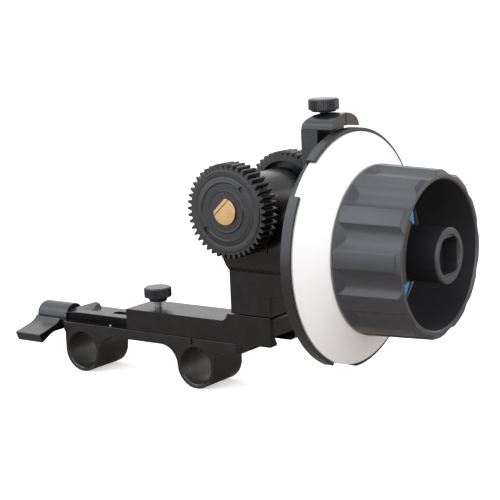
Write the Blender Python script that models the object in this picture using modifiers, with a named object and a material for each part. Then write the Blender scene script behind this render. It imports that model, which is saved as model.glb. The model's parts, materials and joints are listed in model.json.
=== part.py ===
"""Lens follow focus for a pair of 15 mm camera rods, as separate physical pieces.

A dovetail bridge slides on a rod clamp and carries a gearbox. The handwheel turns
about X at the right, with a conical marking disc behind it, and drives a shaft along
Y with a 0.8 module gear at each end. Units are metres, +Z is up, -Y faces the camera
operator's front view. The origin is midway between the two rod axes.
"""
import math

import bmesh
import bpy
from mathutils import Matrix, Vector

MM = 0.001

# Clearances and facet counts
GAP = 0.3 * MM              # between pieces that seat on each other
FINE_GAP = 0.15 * MM        # round small pins and shanks
OVERRUN = 1.0 * MM          # how far a cutter runs past the face it opens
MERGE = 0.01 * MM           # weld distance for caps and turned ends
SMOOTH_ANGLE = math.radians(32)
FACETS = 40                  # facets of a full circle on large round pieces
WHEEL_FACETS = 60             # divides by the number of flutes
FLUTE_FACETS = 28
MEDIUM_FACETS = 24
SMALL_FACETS = 16
HEX_FACETS = 6
FILLET_STEPS = 6

# Rod clamp
ROD_SPACING = 60.0 * MM
ROD_BORE_DIAMETER = 15.1 * MM
ROD_BOSS_WALL = 1.65 * MM
BORE_CHAMFER = 0.4 * MM
CLAMP_LENGTH = 19.1 * MM            # along the rods
BAR_BOTTOM = 7.2 * MM               # above the rod axes
BAR_THICKNESS = 4.2 * MM
CLAMP_LEFT_REACH = 41.4 * MM        # from the middle to the lever's end
CLAMP_RIGHT_REACH = 52.1 * MM
CLAMP_CORNER = 1.8 * MM
INNER_FILLET = 8.2 * MM
OUTER_FILLET = 4.5 * MM
NOTCH_WIDTH = 0.7 * MM              # witness notch in the bar's front edge
NOTCH_OFFSET = 1.3 * MM             # from the right bore's axis
NOTCH_DEPTH = 2.4 * MM
NOTCH_REACH = 1.0 * MM

# Dovetail rail on the clamp
RAIL_WIDTH = 13.4 * MM
RAIL_HEIGHT = 3.9 * MM
RAIL_ANGLE = math.radians(60)
RAIL_LAND = 0.5 * MM                # upright edge along the rail's top
RAIL_END_INSET = 0.05 * MM          # from the bar's ends to the rail's
RAIL_LEAD_LENGTH = 8.6 * MM
RAIL_LEAD_DROP = 1.0 * MM
KEYWAY_WIDTH = 4.2 * MM
KEYWAY_DEPTH = 0.9 * MM
KEYWAY_START = 22.0 * MM            # from the rail's left end
KEYWAY_LENGTH = 62.0 * MM
NUB_LENGTH = 11.0 * MM
NUB_ROUND = 3.0 * MM
NUB_SLOPE = math.radians(107)
NUB_RISE = 2.15 * MM
NUB_START_DROP = 0.15 * MM          # its left end below the rail's top
NUB_SINK = 0.5 * MM                 # how deep it and the rail run into the bar
STOP_PIN_DIAMETER = 1.2 * MM
STOP_PIN_REACH = 0.7 * MM
STOP_PIN_DEPTH = 2.6 * MM
STOP_PIN_FROM_LEFT = 26.5 * MM
STOP_PIN_FROM_EDGE = 1.6 * MM

# Clamp lever, its stud and nut
LEVER_AXIS_HEIGHT = 11.4 * MM
LEVER_STANDOFF = 1.2 * MM
LEVER_KNOB_DIAMETER = 11.3 * MM
LEVER_KNOB_LENGTH = 16.9 * MM
LEVER_KNOB_ROUND = 2.4 * MM
WING_WIDTH = 14.0 * MM
WING_REACH = 18.3 * MM
WING_DROP = 4.8 * MM
WING_EDGE = 0.1 * MM
KNOB_EDGE = 0.4 * MM
WING_TOP_SHARES = ((0.12, 0.30), (0.25, 0.41), (0.32, 0.48), (0.39, 0.56), (0.46, 0.62), (0.54, 0.65),
                   (0.66, 0.65), (0.73, 0.69), (0.80, 0.78), (0.87, 0.84), (0.94, 0.85), (1.00, 0.87),
                   (1.02, 0.93))
WING_BOTTOM_SHARES = ((0.935, 1.74), (0.825, 1.55), (0.755, 1.40), (0.685, 1.28), (0.61, 1.16),
                      (0.54, 1.08), (0.47, 1.05), (0.33, 1.05), (0.12, 1.06))
STUD_DIAMETER = 4.0 * MM
STUD_END_RECESS = 0.6 * MM
NUT_WIDTH = 7.0 * MM
NUT_THICKNESS = 3.2 * MM

# Sliding bridge
BRIDGE_WIDTH = 18.4 * MM
BRIDGE_HEIGHT = 8.4 * MM
BRIDGE_START = 36.3 * MM            # from the rail's left end
BRIDGE_LENGTH = 72.7 * MM
PAD_LENGTH = 21.3 * MM
PAD_RISE = 3.0 * MM
BRIDGE_EDGE = 0.5 * MM
BRIDGE_END_CHAMFER = 1.0 * MM

# Bridge thumbscrew
SCREW_FROM_LEFT = 9.9 * MM
SCREW_HEAD_DIAMETER = 11.3 * MM
SCREW_HEAD_HEIGHT = 4.1 * MM
SCREW_HEAD_EDGE = 0.5 * MM
SCREW_CONE_TOP = 8.3 * MM
SCREW_CONE_BOTTOM = 7.1 * MM
SCREW_CONE_HEIGHT = 1.7 * MM
SCREW_STANDOFF = 2.5 * MM           # from the deck to the cone
SCREW_STEM_DIAMETER = 3.0 * MM

# Gearbox and its foot
NECK_START = 53.6 * MM              # from the bridge's left end
NECK_LENGTH = 19.0 * MM
NECK_HEIGHT = 8.1 * MM              # up to the wider body
BODY_LENGTH = 28.0 * MM
GEARBOX_EDGE = 0.5 * MM
WHEEL_AXIS_HEIGHT = 51.45 * MM
DRIVE_AXIS_RISE = 14.8 * MM         # drive shaft above the handwheel's axis
DRIVE_AXIS_FROM_NECK = 10.5 * MM
BARREL_RADIUS = 14.4 * MM
BARREL_LENGTH = 35.3 * MM
HEAD_RADIUS = 11.9 * MM
HEAD_LENGTH = 29.8 * MM             # along the drive shaft
HEAD_SKIRT = 2.0 * MM               # below the handwheel's axis
SPIGOT_RADIUS = 8.4 * MM
SPIGOT_LENGTH = 9.0 * MM
NECK_SCREW_SPREAD = 9.0 * MM
NECK_SCREW_DIAMETER = 3.0 * MM
NECK_SCREW_HEAD = 5.4 * MM
NECK_SCREW_HEAD_HEIGHT = 2.6 * MM
NECK_SCREW_GRIP = 8.0 * MM

# Shafts and bushes
WHEEL_SHAFT_DIAMETER = 8.0 * MM
WHEEL_BUSH_DIAMETER = 12.4 * MM
WHEEL_BUSH_LENGTH = 8.0 * MM
WHEEL_BORE_WALL = 3.0 * MM          # left closed at the gearbox's left face
DRIVE_SHAFT_DIAMETER = 6.0 * MM
DRIVE_BUSH_DIAMETER = 10.0 * MM
DRIVE_BUSH_LENGTH = 6.0 * MM
RUNNING = 0.08 * MM                 # radial running clearance of a shaft in its bush

# Drive gears
GEAR_MODULE = 0.8 * MM
GEAR_TEETH = 43
GEAR_WIDTH = 8.4 * MM
GEAR_STANDOFF = 0.6 * MM            # from the gearbox head to the gear
TOOTH_TIP_SHARE = 0.30              # of the tooth pitch
TOOTH_PITCH_SHARE = 0.50
TOOTH_ROOT_SHARE = 0.72
DEDENDUM_SHARE = 1.25               # of the module
GEAR_CUP_RADIUS = 14.2 * MM
GEAR_CUP_DEPTH = 4.6 * MM
GEAR_HUB_RADIUS = 6.0 * MM
GEAR_GROOVE_INNER = 8.1 * MM
GEAR_GROOVE_OUTER = 10.4 * MM
GEAR_GROOVE_DEPTH = 0.45 * MM
GEAR_PIN_RADIUS = 1.0 * MM
GEAR_PIN_CIRCLE = 11.6 * MM
GEAR_PIN_DEPTH = 1.6 * MM
GEAR_PIN_ANGLES = (math.radians(48), math.radians(219))
GEAR_FACE_RADIUS = 15.6 * MM        # raised face inside the teeth
GEAR_FACE_RISE = 0.3 * MM
GEAR_PHASE = math.radians(3)

# Slotted brass screw in each gear
GEAR_SCREW_HEAD_RADIUS = 5.0 * MM
GEAR_SCREW_HEAD_HEIGHT = 0.6 * MM
GEAR_SCREW_SHANK_DIAMETER = 3.0 * MM
GEAR_SCREW_GRIP = 8.0 * MM
GEAR_SCREW_FLAT_SHARE = 0.68        # of the head's radius
GEAR_SCREW_SLOT_SHARE = 0.40
GEAR_SCREW_SLOT_WIDTH = 0.45 * MM
GEAR_SCREW_SLOT_DEPTH = 0.3 * MM
GEAR_SCREW_TURN = math.radians(133)

# Index arm and its thumbscrew
ARM_THICKNESS = 7.4 * MM
ARM_WIDTH = 18.4 * MM
ARM_BASE_RADIUS = 14.0 * MM
SADDLE_GAP = 0.8 * MM               # from the disc's retainer to the saddle's curved underside
SADDLE_LAND = 0.3 * MM              # upright edge under the saddle's dome
SADDLE_LENGTH = 14.0 * MM
SADDLE_RISE = 5.4 * MM
SADDLE_BACK_ROUND = 6.0 * MM
INDEX_LINE_WIDTH = 0.5 * MM
INDEX_LINE_DEPTH = 0.4 * MM
ARM_SCREW_CIRCLE = 11.2 * MM
ARM_SCREW_DIAMETER = 2.5 * MM
ARM_SCREW_HEAD = 4.2 * MM
ARM_SCREW_HEAD_HEIGHT = 2.0 * MM
ARM_SCREW_GRIP = 6.0 * MM
ARM_SCREW_ANGLES = (math.radians(90), math.radians(210), math.radians(330))
INDEX_SCREW_FROM_BACK = 4.5 * MM
INDEX_HEAD_DIAMETER = 11.4 * MM
INDEX_HEAD_HEIGHT = 4.1 * MM
INDEX_CONE_TOP = 9.8 * MM
INDEX_CONE_BOTTOM = 9.0 * MM
INDEX_CONE_HEIGHT = 0.7 * MM
INDEX_STEM_DIAMETER = 3.0 * MM
INDEX_STEM_LENGTH = 8.0 * MM

# Disc carrier, marking disc and its two retainers
CARRIER_GAP = 1.5 * MM              # from the arm to the carrier
CARRIER_PLATE_INSET = 2.2 * MM      # from the retainer's outside to the plate's edge
CARRIER_PLATE_THICKNESS = 2.3 * MM
CARRIER_HUB_RADIUS = 12.0 * MM
CARRIER_HUB_LENGTH = 1.6 * MM
CARRIER_BOSS_RADIUS = 24.0 * MM
CARRIER_BOSS_WALL = 3.0 * MM
CARRIER_CORE_RADIUS = 8.0 * MM
RETAINER_OUTER_RADIUS = 44.6 * MM
RETAINER_BAND = 1.1 * MM
RETAINER_WIDTH = 4.0 * MM
RETAINER_FLANGE = 0.9 * MM
RETAINER_FLANGE_REACH = 7.1 * MM
RETAINER_LONG_START = math.radians(-93)
RETAINER_LONG_END = math.radians(126.3)
RETAINER_SHORT_START = math.radians(146.5)
RETAINER_SHORT_END = math.radians(245.5)
RETAINER_STEP = math.radians(6.0)
DISC_RIM_WIDTH = 3.5 * MM
DISC_CONE_RISE = 7.5 * MM
DISC_TOP_RADIUS = 31.5 * MM
DISC_WALL = 2.4 * MM

# Handwheel, crank socket and rim inlay
WHEEL_LENGTH = 26.85 * MM
WHEEL_BASE_RADIUS = 31.7 * MM
WHEEL_FRONT_RADIUS = 30.2 * MM
WHEEL_LIP = 1.7 * MM                # chamfer round the front
WHEEL_INNER_LIP = 0.5 * MM
WHEEL_BORE_RADIUS = 27.2 * MM
WHEEL_FLOOR = 2.6 * MM
WHEEL_FLOOR_RADIUS = 26.4 * MM
WHEEL_CENTRE_HOLE = 6.6 * MM
FLUTE_COUNT = 12
FLUTE_RADIUS = 8.6 * MM
FLUTE_DEPTH = 1.6 * MM
FLUTE_END_MARGIN = 2.6 * MM         # from the handwheel's back to the flutes
FLUTE_PHASE = math.radians(11)
SOCKET_RADIUS = 10.2 * MM
SOCKET_PROUD = 3.45 * MM            # beyond the handwheel's front
SOCKET_EDGE = 0.5 * MM
SOCKET_HOLE_FLATS = 13.6 * MM
SOCKET_HOLE_CORNER = 3.2 * MM
SOCKET_HOLE_DEPTH = 6.5 * MM
SOCKET_SCREW_DIAMETER = 3.0 * MM
SOCKET_SCREW_HEAD = 6.0 * MM
SOCKET_SCREW_HEAD_HEIGHT = 3.0 * MM
SOCKET_SCREW_KEY = 2.6 * MM
SOCKET_SCREW_KEY_DEPTH = 1.6 * MM
SOCKET_SCREW_GRIP = 9.0 * MM
PAD_RADIAL = 2.3 * MM
PAD_AXIAL = 3.0 * MM
PAD_MIDDLE = math.radians(168)      # from the far side over the top
PAD_HALF_ANGLE = math.radians(24.5)
PAD_STEPS = 8
ACCENT_RADIAL = 3.7 * MM
ACCENT_ANGLE = math.radians(9)
ACCENT_GAP = math.radians(0.7)
ACCENT_TOP_SHARE = 0.2

# Places that follow from the sizes above
BORE_RADIUS = ROD_BORE_DIAMETER / 2
BOSS_RADIUS = BORE_RADIUS + ROD_BOSS_WALL
HALF_SPACING = ROD_SPACING / 2
BAR_TOP = BAR_BOTTOM + BAR_THICKNESS
RAIL_TOP = BAR_TOP + RAIL_HEIGHT
RAIL_UNDERCUT = (RAIL_HEIGHT - RAIL_LAND) / math.tan(RAIL_ANGLE)
BRIDGE_LEFT = BRIDGE_START - CLAMP_LEFT_REACH
BRIDGE_RIGHT = BRIDGE_LEFT + BRIDGE_LENGTH
SKIRT_BOTTOM = BAR_TOP + GAP
DECK_TOP = SKIRT_BOTTOM + BRIDGE_HEIGHT
PAD_TOP = DECK_TOP + PAD_RISE
SCREW_X = BRIDGE_LEFT + SCREW_FROM_LEFT
NECK_LEFT = BRIDGE_LEFT + NECK_START
NECK_BOTTOM = PAD_TOP + GAP
NECK_MIDDLE = NECK_LEFT + NECK_LENGTH / 2
DRIVE_X = NECK_LEFT + DRIVE_AXIS_FROM_NECK
DRIVE_Z = WHEEL_AXIS_HEIGHT + DRIVE_AXIS_RISE
BARREL_RIGHT = NECK_LEFT + BARREL_LENGTH
SPIGOT_RIGHT = BARREL_RIGHT + SPIGOT_LENGTH
HEAD_END = HEAD_LENGTH / 2
GEAR_PITCH_RADIUS = GEAR_MODULE * GEAR_TEETH / 2
GEAR_INNER_FACE = HEAD_END + GEAR_STANDOFF
GEAR_OUTER_FACE = GEAR_INNER_FACE + GEAR_WIDTH
ARM_BACK = BARREL_RIGHT + GAP
ARM_FRONT = ARM_BACK + ARM_THICKNESS
SADDLE_UNDER_RADIUS = RETAINER_OUTER_RADIUS + SADDLE_GAP
SADDLE_HALF_ANGLE = math.asin(ARM_WIDTH / 2 / SADDLE_UNDER_RADIUS)
SADDLE_UNDERSIDE = WHEEL_AXIS_HEIGHT + SADDLE_UNDER_RADIUS * math.cos(SADDLE_HALF_ANGLE)
SADDLE_BOTTOM = SADDLE_UNDERSIDE + SADDLE_LAND
SADDLE_TOP = SADDLE_BOTTOM + SADDLE_RISE
SADDLE_FRONT = ARM_BACK + SADDLE_LENGTH
CARRIER_BACK = ARM_FRONT + CARRIER_GAP
PLATE_BACK = CARRIER_BACK + CARRIER_HUB_LENGTH
PLATE_FRONT = PLATE_BACK + CARRIER_PLATE_THICKNESS
RETAINER_BACK = PLATE_FRONT + GAP
DISC_BACK = RETAINER_BACK + RETAINER_FLANGE + GAP
DISC_RADIUS = RETAINER_OUTER_RADIUS - RETAINER_BAND - GAP
CARRIER_PLATE_RADIUS = RETAINER_OUTER_RADIUS - CARRIER_PLATE_INSET
DISC_EDGE = DISC_BACK + DISC_RIM_WIDTH
DISC_FRONT = DISC_EDGE + DISC_CONE_RISE
WHEEL_BACK = DISC_FRONT + GAP
WHEEL_FRONT = WHEEL_BACK + WHEEL_LENGTH
SOCKET_BACK = WHEEL_BACK + WHEEL_FLOOR + GAP
SOCKET_FRONT = WHEEL_FRONT + SOCKET_PROUD
SOCKET_FLOOR = SOCKET_FRONT - SOCKET_HOLE_DEPTH
SHAFT_LEFT = NECK_LEFT + WHEEL_BORE_WALL + GAP
SOCKET_SCREW_SEAT = SOCKET_FLOOR - SOCKET_SCREW_HEAD_HEIGHT - GAP
SHAFT_RIGHT = SOCKET_SCREW_SEAT - 2 * SOCKET_SCREW_DIAMETER

# Colour, metallic and roughness of each material
MATERIALS = {
    "black_anodised": ((0.018, 0.018, 0.020), 0.6, 0.42),
    "black_polymer": ((0.030, 0.031, 0.034), 0.0, 0.55),
    "white_polymer": ((0.86, 0.87, 0.89), 0.0, 0.35),
    "brass": ((0.80, 0.60, 0.28), 1.0, 0.28),
    "bright_steel": ((0.62, 0.62, 0.63), 1.0, 0.25),
    "black_steel": ((0.05, 0.05, 0.052), 1.0, 0.4),
    "sintered_bronze": ((0.42, 0.30, 0.18), 1.0, 0.5),
    "grey_polymer": ((0.16, 0.16, 0.165), 0.0, 0.5),
    "blue_polymer": ((0.05, 0.42, 0.72), 0.0, 0.4),
}

# An outline drawn in the first two letters' plane is pushed out along the third
PLANES = {
    "XY": Matrix.Identity(3),
    "XZ": Matrix(((1, 0, 0), (0, 0, -1), (0, 1, 0))),
    "YZ": Matrix(((0, 0, 1), (1, 0, 0), (0, 1, 0))),
}
AXES = {
    "X": Matrix(((0, 0, 1), (1, 0, 0), (0, 1, 0))),
    "Y": Matrix(((0, 1, 0), (0, 0, 1), (1, 0, 0))),
    "Z": Matrix.Identity(3),
}


def clear_scene():
    """Remove whatever the file opened with."""
    for obj in list(bpy.data.objects):
        bpy.data.objects.remove(obj, do_unlink=True)


def make_collection(name):
    """Return a new collection linked to the scene."""
    collection = bpy.data.collections.new(name)
    bpy.context.scene.collection.children.link(collection)
    return collection


def make_materials():
    """Return the materials by name."""
    made = {}
    for name, (colour, metallic, roughness) in MATERIALS.items():
        material = bpy.data.materials.new(name)
        material.use_nodes = True
        shader = material.node_tree.nodes["Principled BSDF"]
        shader.inputs["Base Color"].default_value = (*colour, 1.0)
        shader.inputs["Metallic"].default_value = metallic
        shader.inputs["Roughness"].default_value = roughness
        material.diffuse_color = (*colour, 1.0)
        made[name] = material
    return made


def arc(centre, radius, start, end, steps):
    """Return points along a circular arc, both ends included."""
    points = []
    for i in range(steps + 1):
        angle = start + (end - start) * i / steps
        points.append((centre[0] + radius * math.cos(angle), centre[1] + radius * math.sin(angle)))
    return points


class Builder:
    """Makes the meshes, with pieces in one collection and cutters in another."""

    def __init__(self):
        self.pieces = make_collection("lens_follow_focus")
        self.cutters = make_collection("cutters")
        self.materials = make_materials()

    def mesh_of(self, obj, flat_ends=()):
        """Return a temporary object's mesh, welded and facing out, with one face at each flat end."""
        graph = bpy.context.evaluated_depsgraph_get()
        mesh = bpy.data.meshes.new_from_object(obj.evaluated_get(graph))
        data = obj.data
        bpy.data.objects.remove(obj, do_unlink=True)
        if isinstance(data, bpy.types.Curve):
            bpy.data.curves.remove(data)
        else:
            bpy.data.meshes.remove(data)
        bm = bmesh.new()
        bm.from_mesh(mesh)
        bmesh.ops.remove_doubles(bm, verts=bm.verts, dist=MERGE)
        for end in flat_ends:
            cap = [face for face in bm.faces if all(abs(vert.co.z - end) < MERGE for vert in face.verts)]
            bmesh.ops.dissolve_faces(bm, faces=cap, use_verts=True)
        bmesh.ops.recalc_face_normals(bm, faces=bm.faces)
        bm.to_mesh(mesh)
        bm.free()
        return mesh

    def place(self, name, mesh, origin, material=None, parent=None):
        """Link a mesh whose points are in world space, with its origin at a given place."""
        mesh.transform(Matrix.Translation(-Vector(origin)))
        mesh.shade_smooth()
        mesh.set_sharp_from_angle(angle=SMOOTH_ANGLE)
        mesh.name = name
        obj = bpy.data.objects.new(name, mesh)
        obj.location = origin
        if material is None:
            self.cutters.objects.link(obj)
            obj.hide_render = True
            obj.display_type = "WIRE"
        else:
            self.pieces.objects.link(obj)
            mesh.materials.append(self.materials[material])
        if parent is not None:
            obj.parent = parent
            obj.matrix_parent_inverse = parent.matrix_world.inverted()
        return obj

    def joint_empty(self, name, place):
        """Return an empty that stands on a joint's axis."""
        empty = bpy.data.objects.new(name, None)
        empty.empty_display_size = GEAR_WIDTH
        empty.location = place
        empty.matrix_world = Matrix.Translation(place)
        self.pieces.objects.link(empty)
        return empty

    def box(self, low, high):
        """Return a box mesh between two corners."""
        bm = bmesh.new()
        bmesh.ops.create_cube(bm, size=1.0)
        size = Vector(high) - Vector(low)
        middle = (Vector(high) + Vector(low)) / 2
        bmesh.ops.scale(bm, vec=size, verts=bm.verts)
        bmesh.ops.translate(bm, vec=middle, verts=bm.verts)
        mesh = bpy.data.meshes.new("box")
        bm.to_mesh(mesh)
        bm.free()
        return mesh

    def rod(self, axis, centre, radius, start, end, segments=FACETS):
        """Return a cylinder along an axis, between two stations on it."""
        bm = bmesh.new()
        bmesh.ops.create_cone(bm, cap_ends=True, segments=segments, radius1=radius,
                              radius2=radius, depth=end - start)
        bmesh.ops.translate(bm, vec=(0, 0, (start + end) / 2), verts=bm.verts)
        mesh = bpy.data.meshes.new("rod")
        bm.to_mesh(mesh)
        bm.free()
        mesh.transform(AXES[axis].to_4x4())
        mesh.transform(Matrix.Translation(self.off_axis(axis, centre)))
        return mesh

    def off_axis(self, axis, centre):
        """Return the offset of an axis from the two coordinates that place it."""
        first, second = centre
        if axis == "X":
            return Vector((0, first, second))
        if axis == "Y":
            return Vector((first, 0, second))
        return Vector((first, second, 0))

    def turned(self, axis, centre, profile, segments=FACETS):
        """Return a turned mesh from (radius, station) points, closed on the axis or as a loop."""
        closed = profile[0][0] > 0 or profile[-1][0] > 0
        bm = bmesh.new()
        verts = [bm.verts.new((radius, 0, station)) for radius, station in profile]
        for first, second in zip(verts, verts[1:]):
            bm.edges.new((first, second))
        if closed:
            bm.edges.new((verts[-1], verts[0]))
        mesh = bpy.data.meshes.new("profile")
        bm.to_mesh(mesh)
        bm.free()
        obj = bpy.data.objects.new("profile", mesh)
        self.pieces.objects.link(obj)
        screw = obj.modifiers.new("Screw", "SCREW")
        screw.axis = "Z"
        screw.steps = segments
        screw.render_steps = segments
        screw.use_merge_vertices = True
        screw.merge_threshold = MERGE
        made = self.mesh_of(obj, sorted({station for radius, station in profile if radius == 0}))
        made.transform(AXES[axis].to_4x4())
        made.transform(Matrix.Translation(self.off_axis(axis, centre)))
        return made

    def pushed(self, plane, outline, start, end):
        """Return a flat outline pushed out between two stations along the third axis."""
        curve = bpy.data.curves.new("outline", "CURVE")
        curve.dimensions = "2D"
        curve.fill_mode = "BOTH"
        half = (end - start) / 2
        curve.extrude = half
        spline = curve.splines.new("POLY")
        spline.points.add(len(outline) - 1)
        for point, (first, second) in zip(spline.points, outline):
            point.co = (first, second, 0, 1)
        spline.use_cyclic_u = True
        obj = bpy.data.objects.new("outline", curve)
        self.pieces.objects.link(obj)
        mesh = self.mesh_of(obj, (-half, half))
        mesh.transform(PLANES[plane].to_4x4())
        middle = (start + end) / 2
        shift = {"XY": (0, 0, middle), "XZ": (0, middle, 0), "YZ": (middle, 0, 0)}[plane]
        mesh.transform(Matrix.Translation(shift))
        return mesh

    def bevel(self, obj, width, segments=1, angle=SMOOTH_ANGLE):
        """Round or chamfer the sharp edges of a piece."""
        modifier = obj.modifiers.new("Bevel", "BEVEL")
        modifier.width = width
        modifier.segments = segments
        modifier.limit_method = "ANGLE"
        modifier.angle_limit = angle
        modifier.use_clamp_overlap = True
        return modifier

    def chamfer_edges(self, mesh, wanted, width, segments=1):
        """Chamfer only the edges that a test picks, given their two ends."""
        bm = bmesh.new()
        bm.from_mesh(mesh)
        edges = [edge for edge in bm.edges if wanted(edge.verts[0].co, edge.verts[1].co)]
        bmesh.ops.bevel(bm, geom=edges, offset=width, offset_type="OFFSET", segments=segments,
                        profile=0.5, affect="EDGES")
        bm.to_mesh(mesh)
        bm.free()
        return mesh

    def boolean(self, target, tool, operation="DIFFERENCE"):
        """Cut a piece with a cutter, or join a hidden body to it."""
        modifier = target.modifiers.new(operation.title(), "BOOLEAN")
        modifier.operation = operation
        modifier.solver = "EXACT"
        modifier.object = tool
        return modifier

    def cut_mesh(self, target, name, mesh):
        """Cut a piece with a mesh that becomes a hidden cutter."""
        tool = self.place(name, mesh, target.location)
        self.boolean(target, tool)
        return tool

    def join_mesh(self, target, name, mesh):
        """Fuse a mesh to a piece as one body."""
        tool = self.place(name, mesh, target.location)
        self.boolean(target, tool, "UNION")
        return tool


def clamp_outline():
    """Return the clamp's outline in X and Z: a bar with a round boss under each end."""
    left = -CLAMP_LEFT_REACH
    right = CLAMP_RIGHT_REACH
    lift = BAR_BOTTOM - INNER_FILLET
    drop = math.asin(-lift / BOSS_RADIUS)
    boss_edge = BOSS_RADIUS * math.cos(drop)
    inner = HALF_SPACING - boss_edge - INNER_FILLET
    outer = HALF_SPACING + BOSS_RADIUS + OUTER_FILLET
    points = [(left, BAR_TOP), (left, BAR_BOTTOM), (-HALF_SPACING - BOSS_RADIUS, BAR_BOTTOM)]
    points += arc((-HALF_SPACING, 0), BOSS_RADIUS, math.pi, math.tau - drop, 3 * FILLET_STEPS)
    points += arc((-inner, lift), INNER_FILLET, math.pi, math.pi / 2, FILLET_STEPS)[1:]
    points += arc((inner, lift), INNER_FILLET, math.pi / 2, 0, FILLET_STEPS)
    points += arc((HALF_SPACING, 0), BOSS_RADIUS, math.pi + drop, math.tau, 3 * FILLET_STEPS)[1:]
    points += arc((outer, BAR_BOTTOM - OUTER_FILLET), OUTER_FILLET, math.pi, math.pi / 2, FILLET_STEPS)
    points += [(right, BAR_BOTTOM), (right, BAR_TOP)]
    return points


def dovetail(half_top, top, bottom, land, clearance):
    """Return a dovetail's outline in Y and Z, wide at the top."""
    undercut = (top - land - bottom) / math.tan(RAIL_ANGLE)
    top_half = half_top + clearance
    low_half = top_half - undercut
    return [(-low_half, bottom), (-top_half, top - land), (-top_half, top), (top_half, top),
            (top_half, top - land), (low_half, bottom)]


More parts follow.
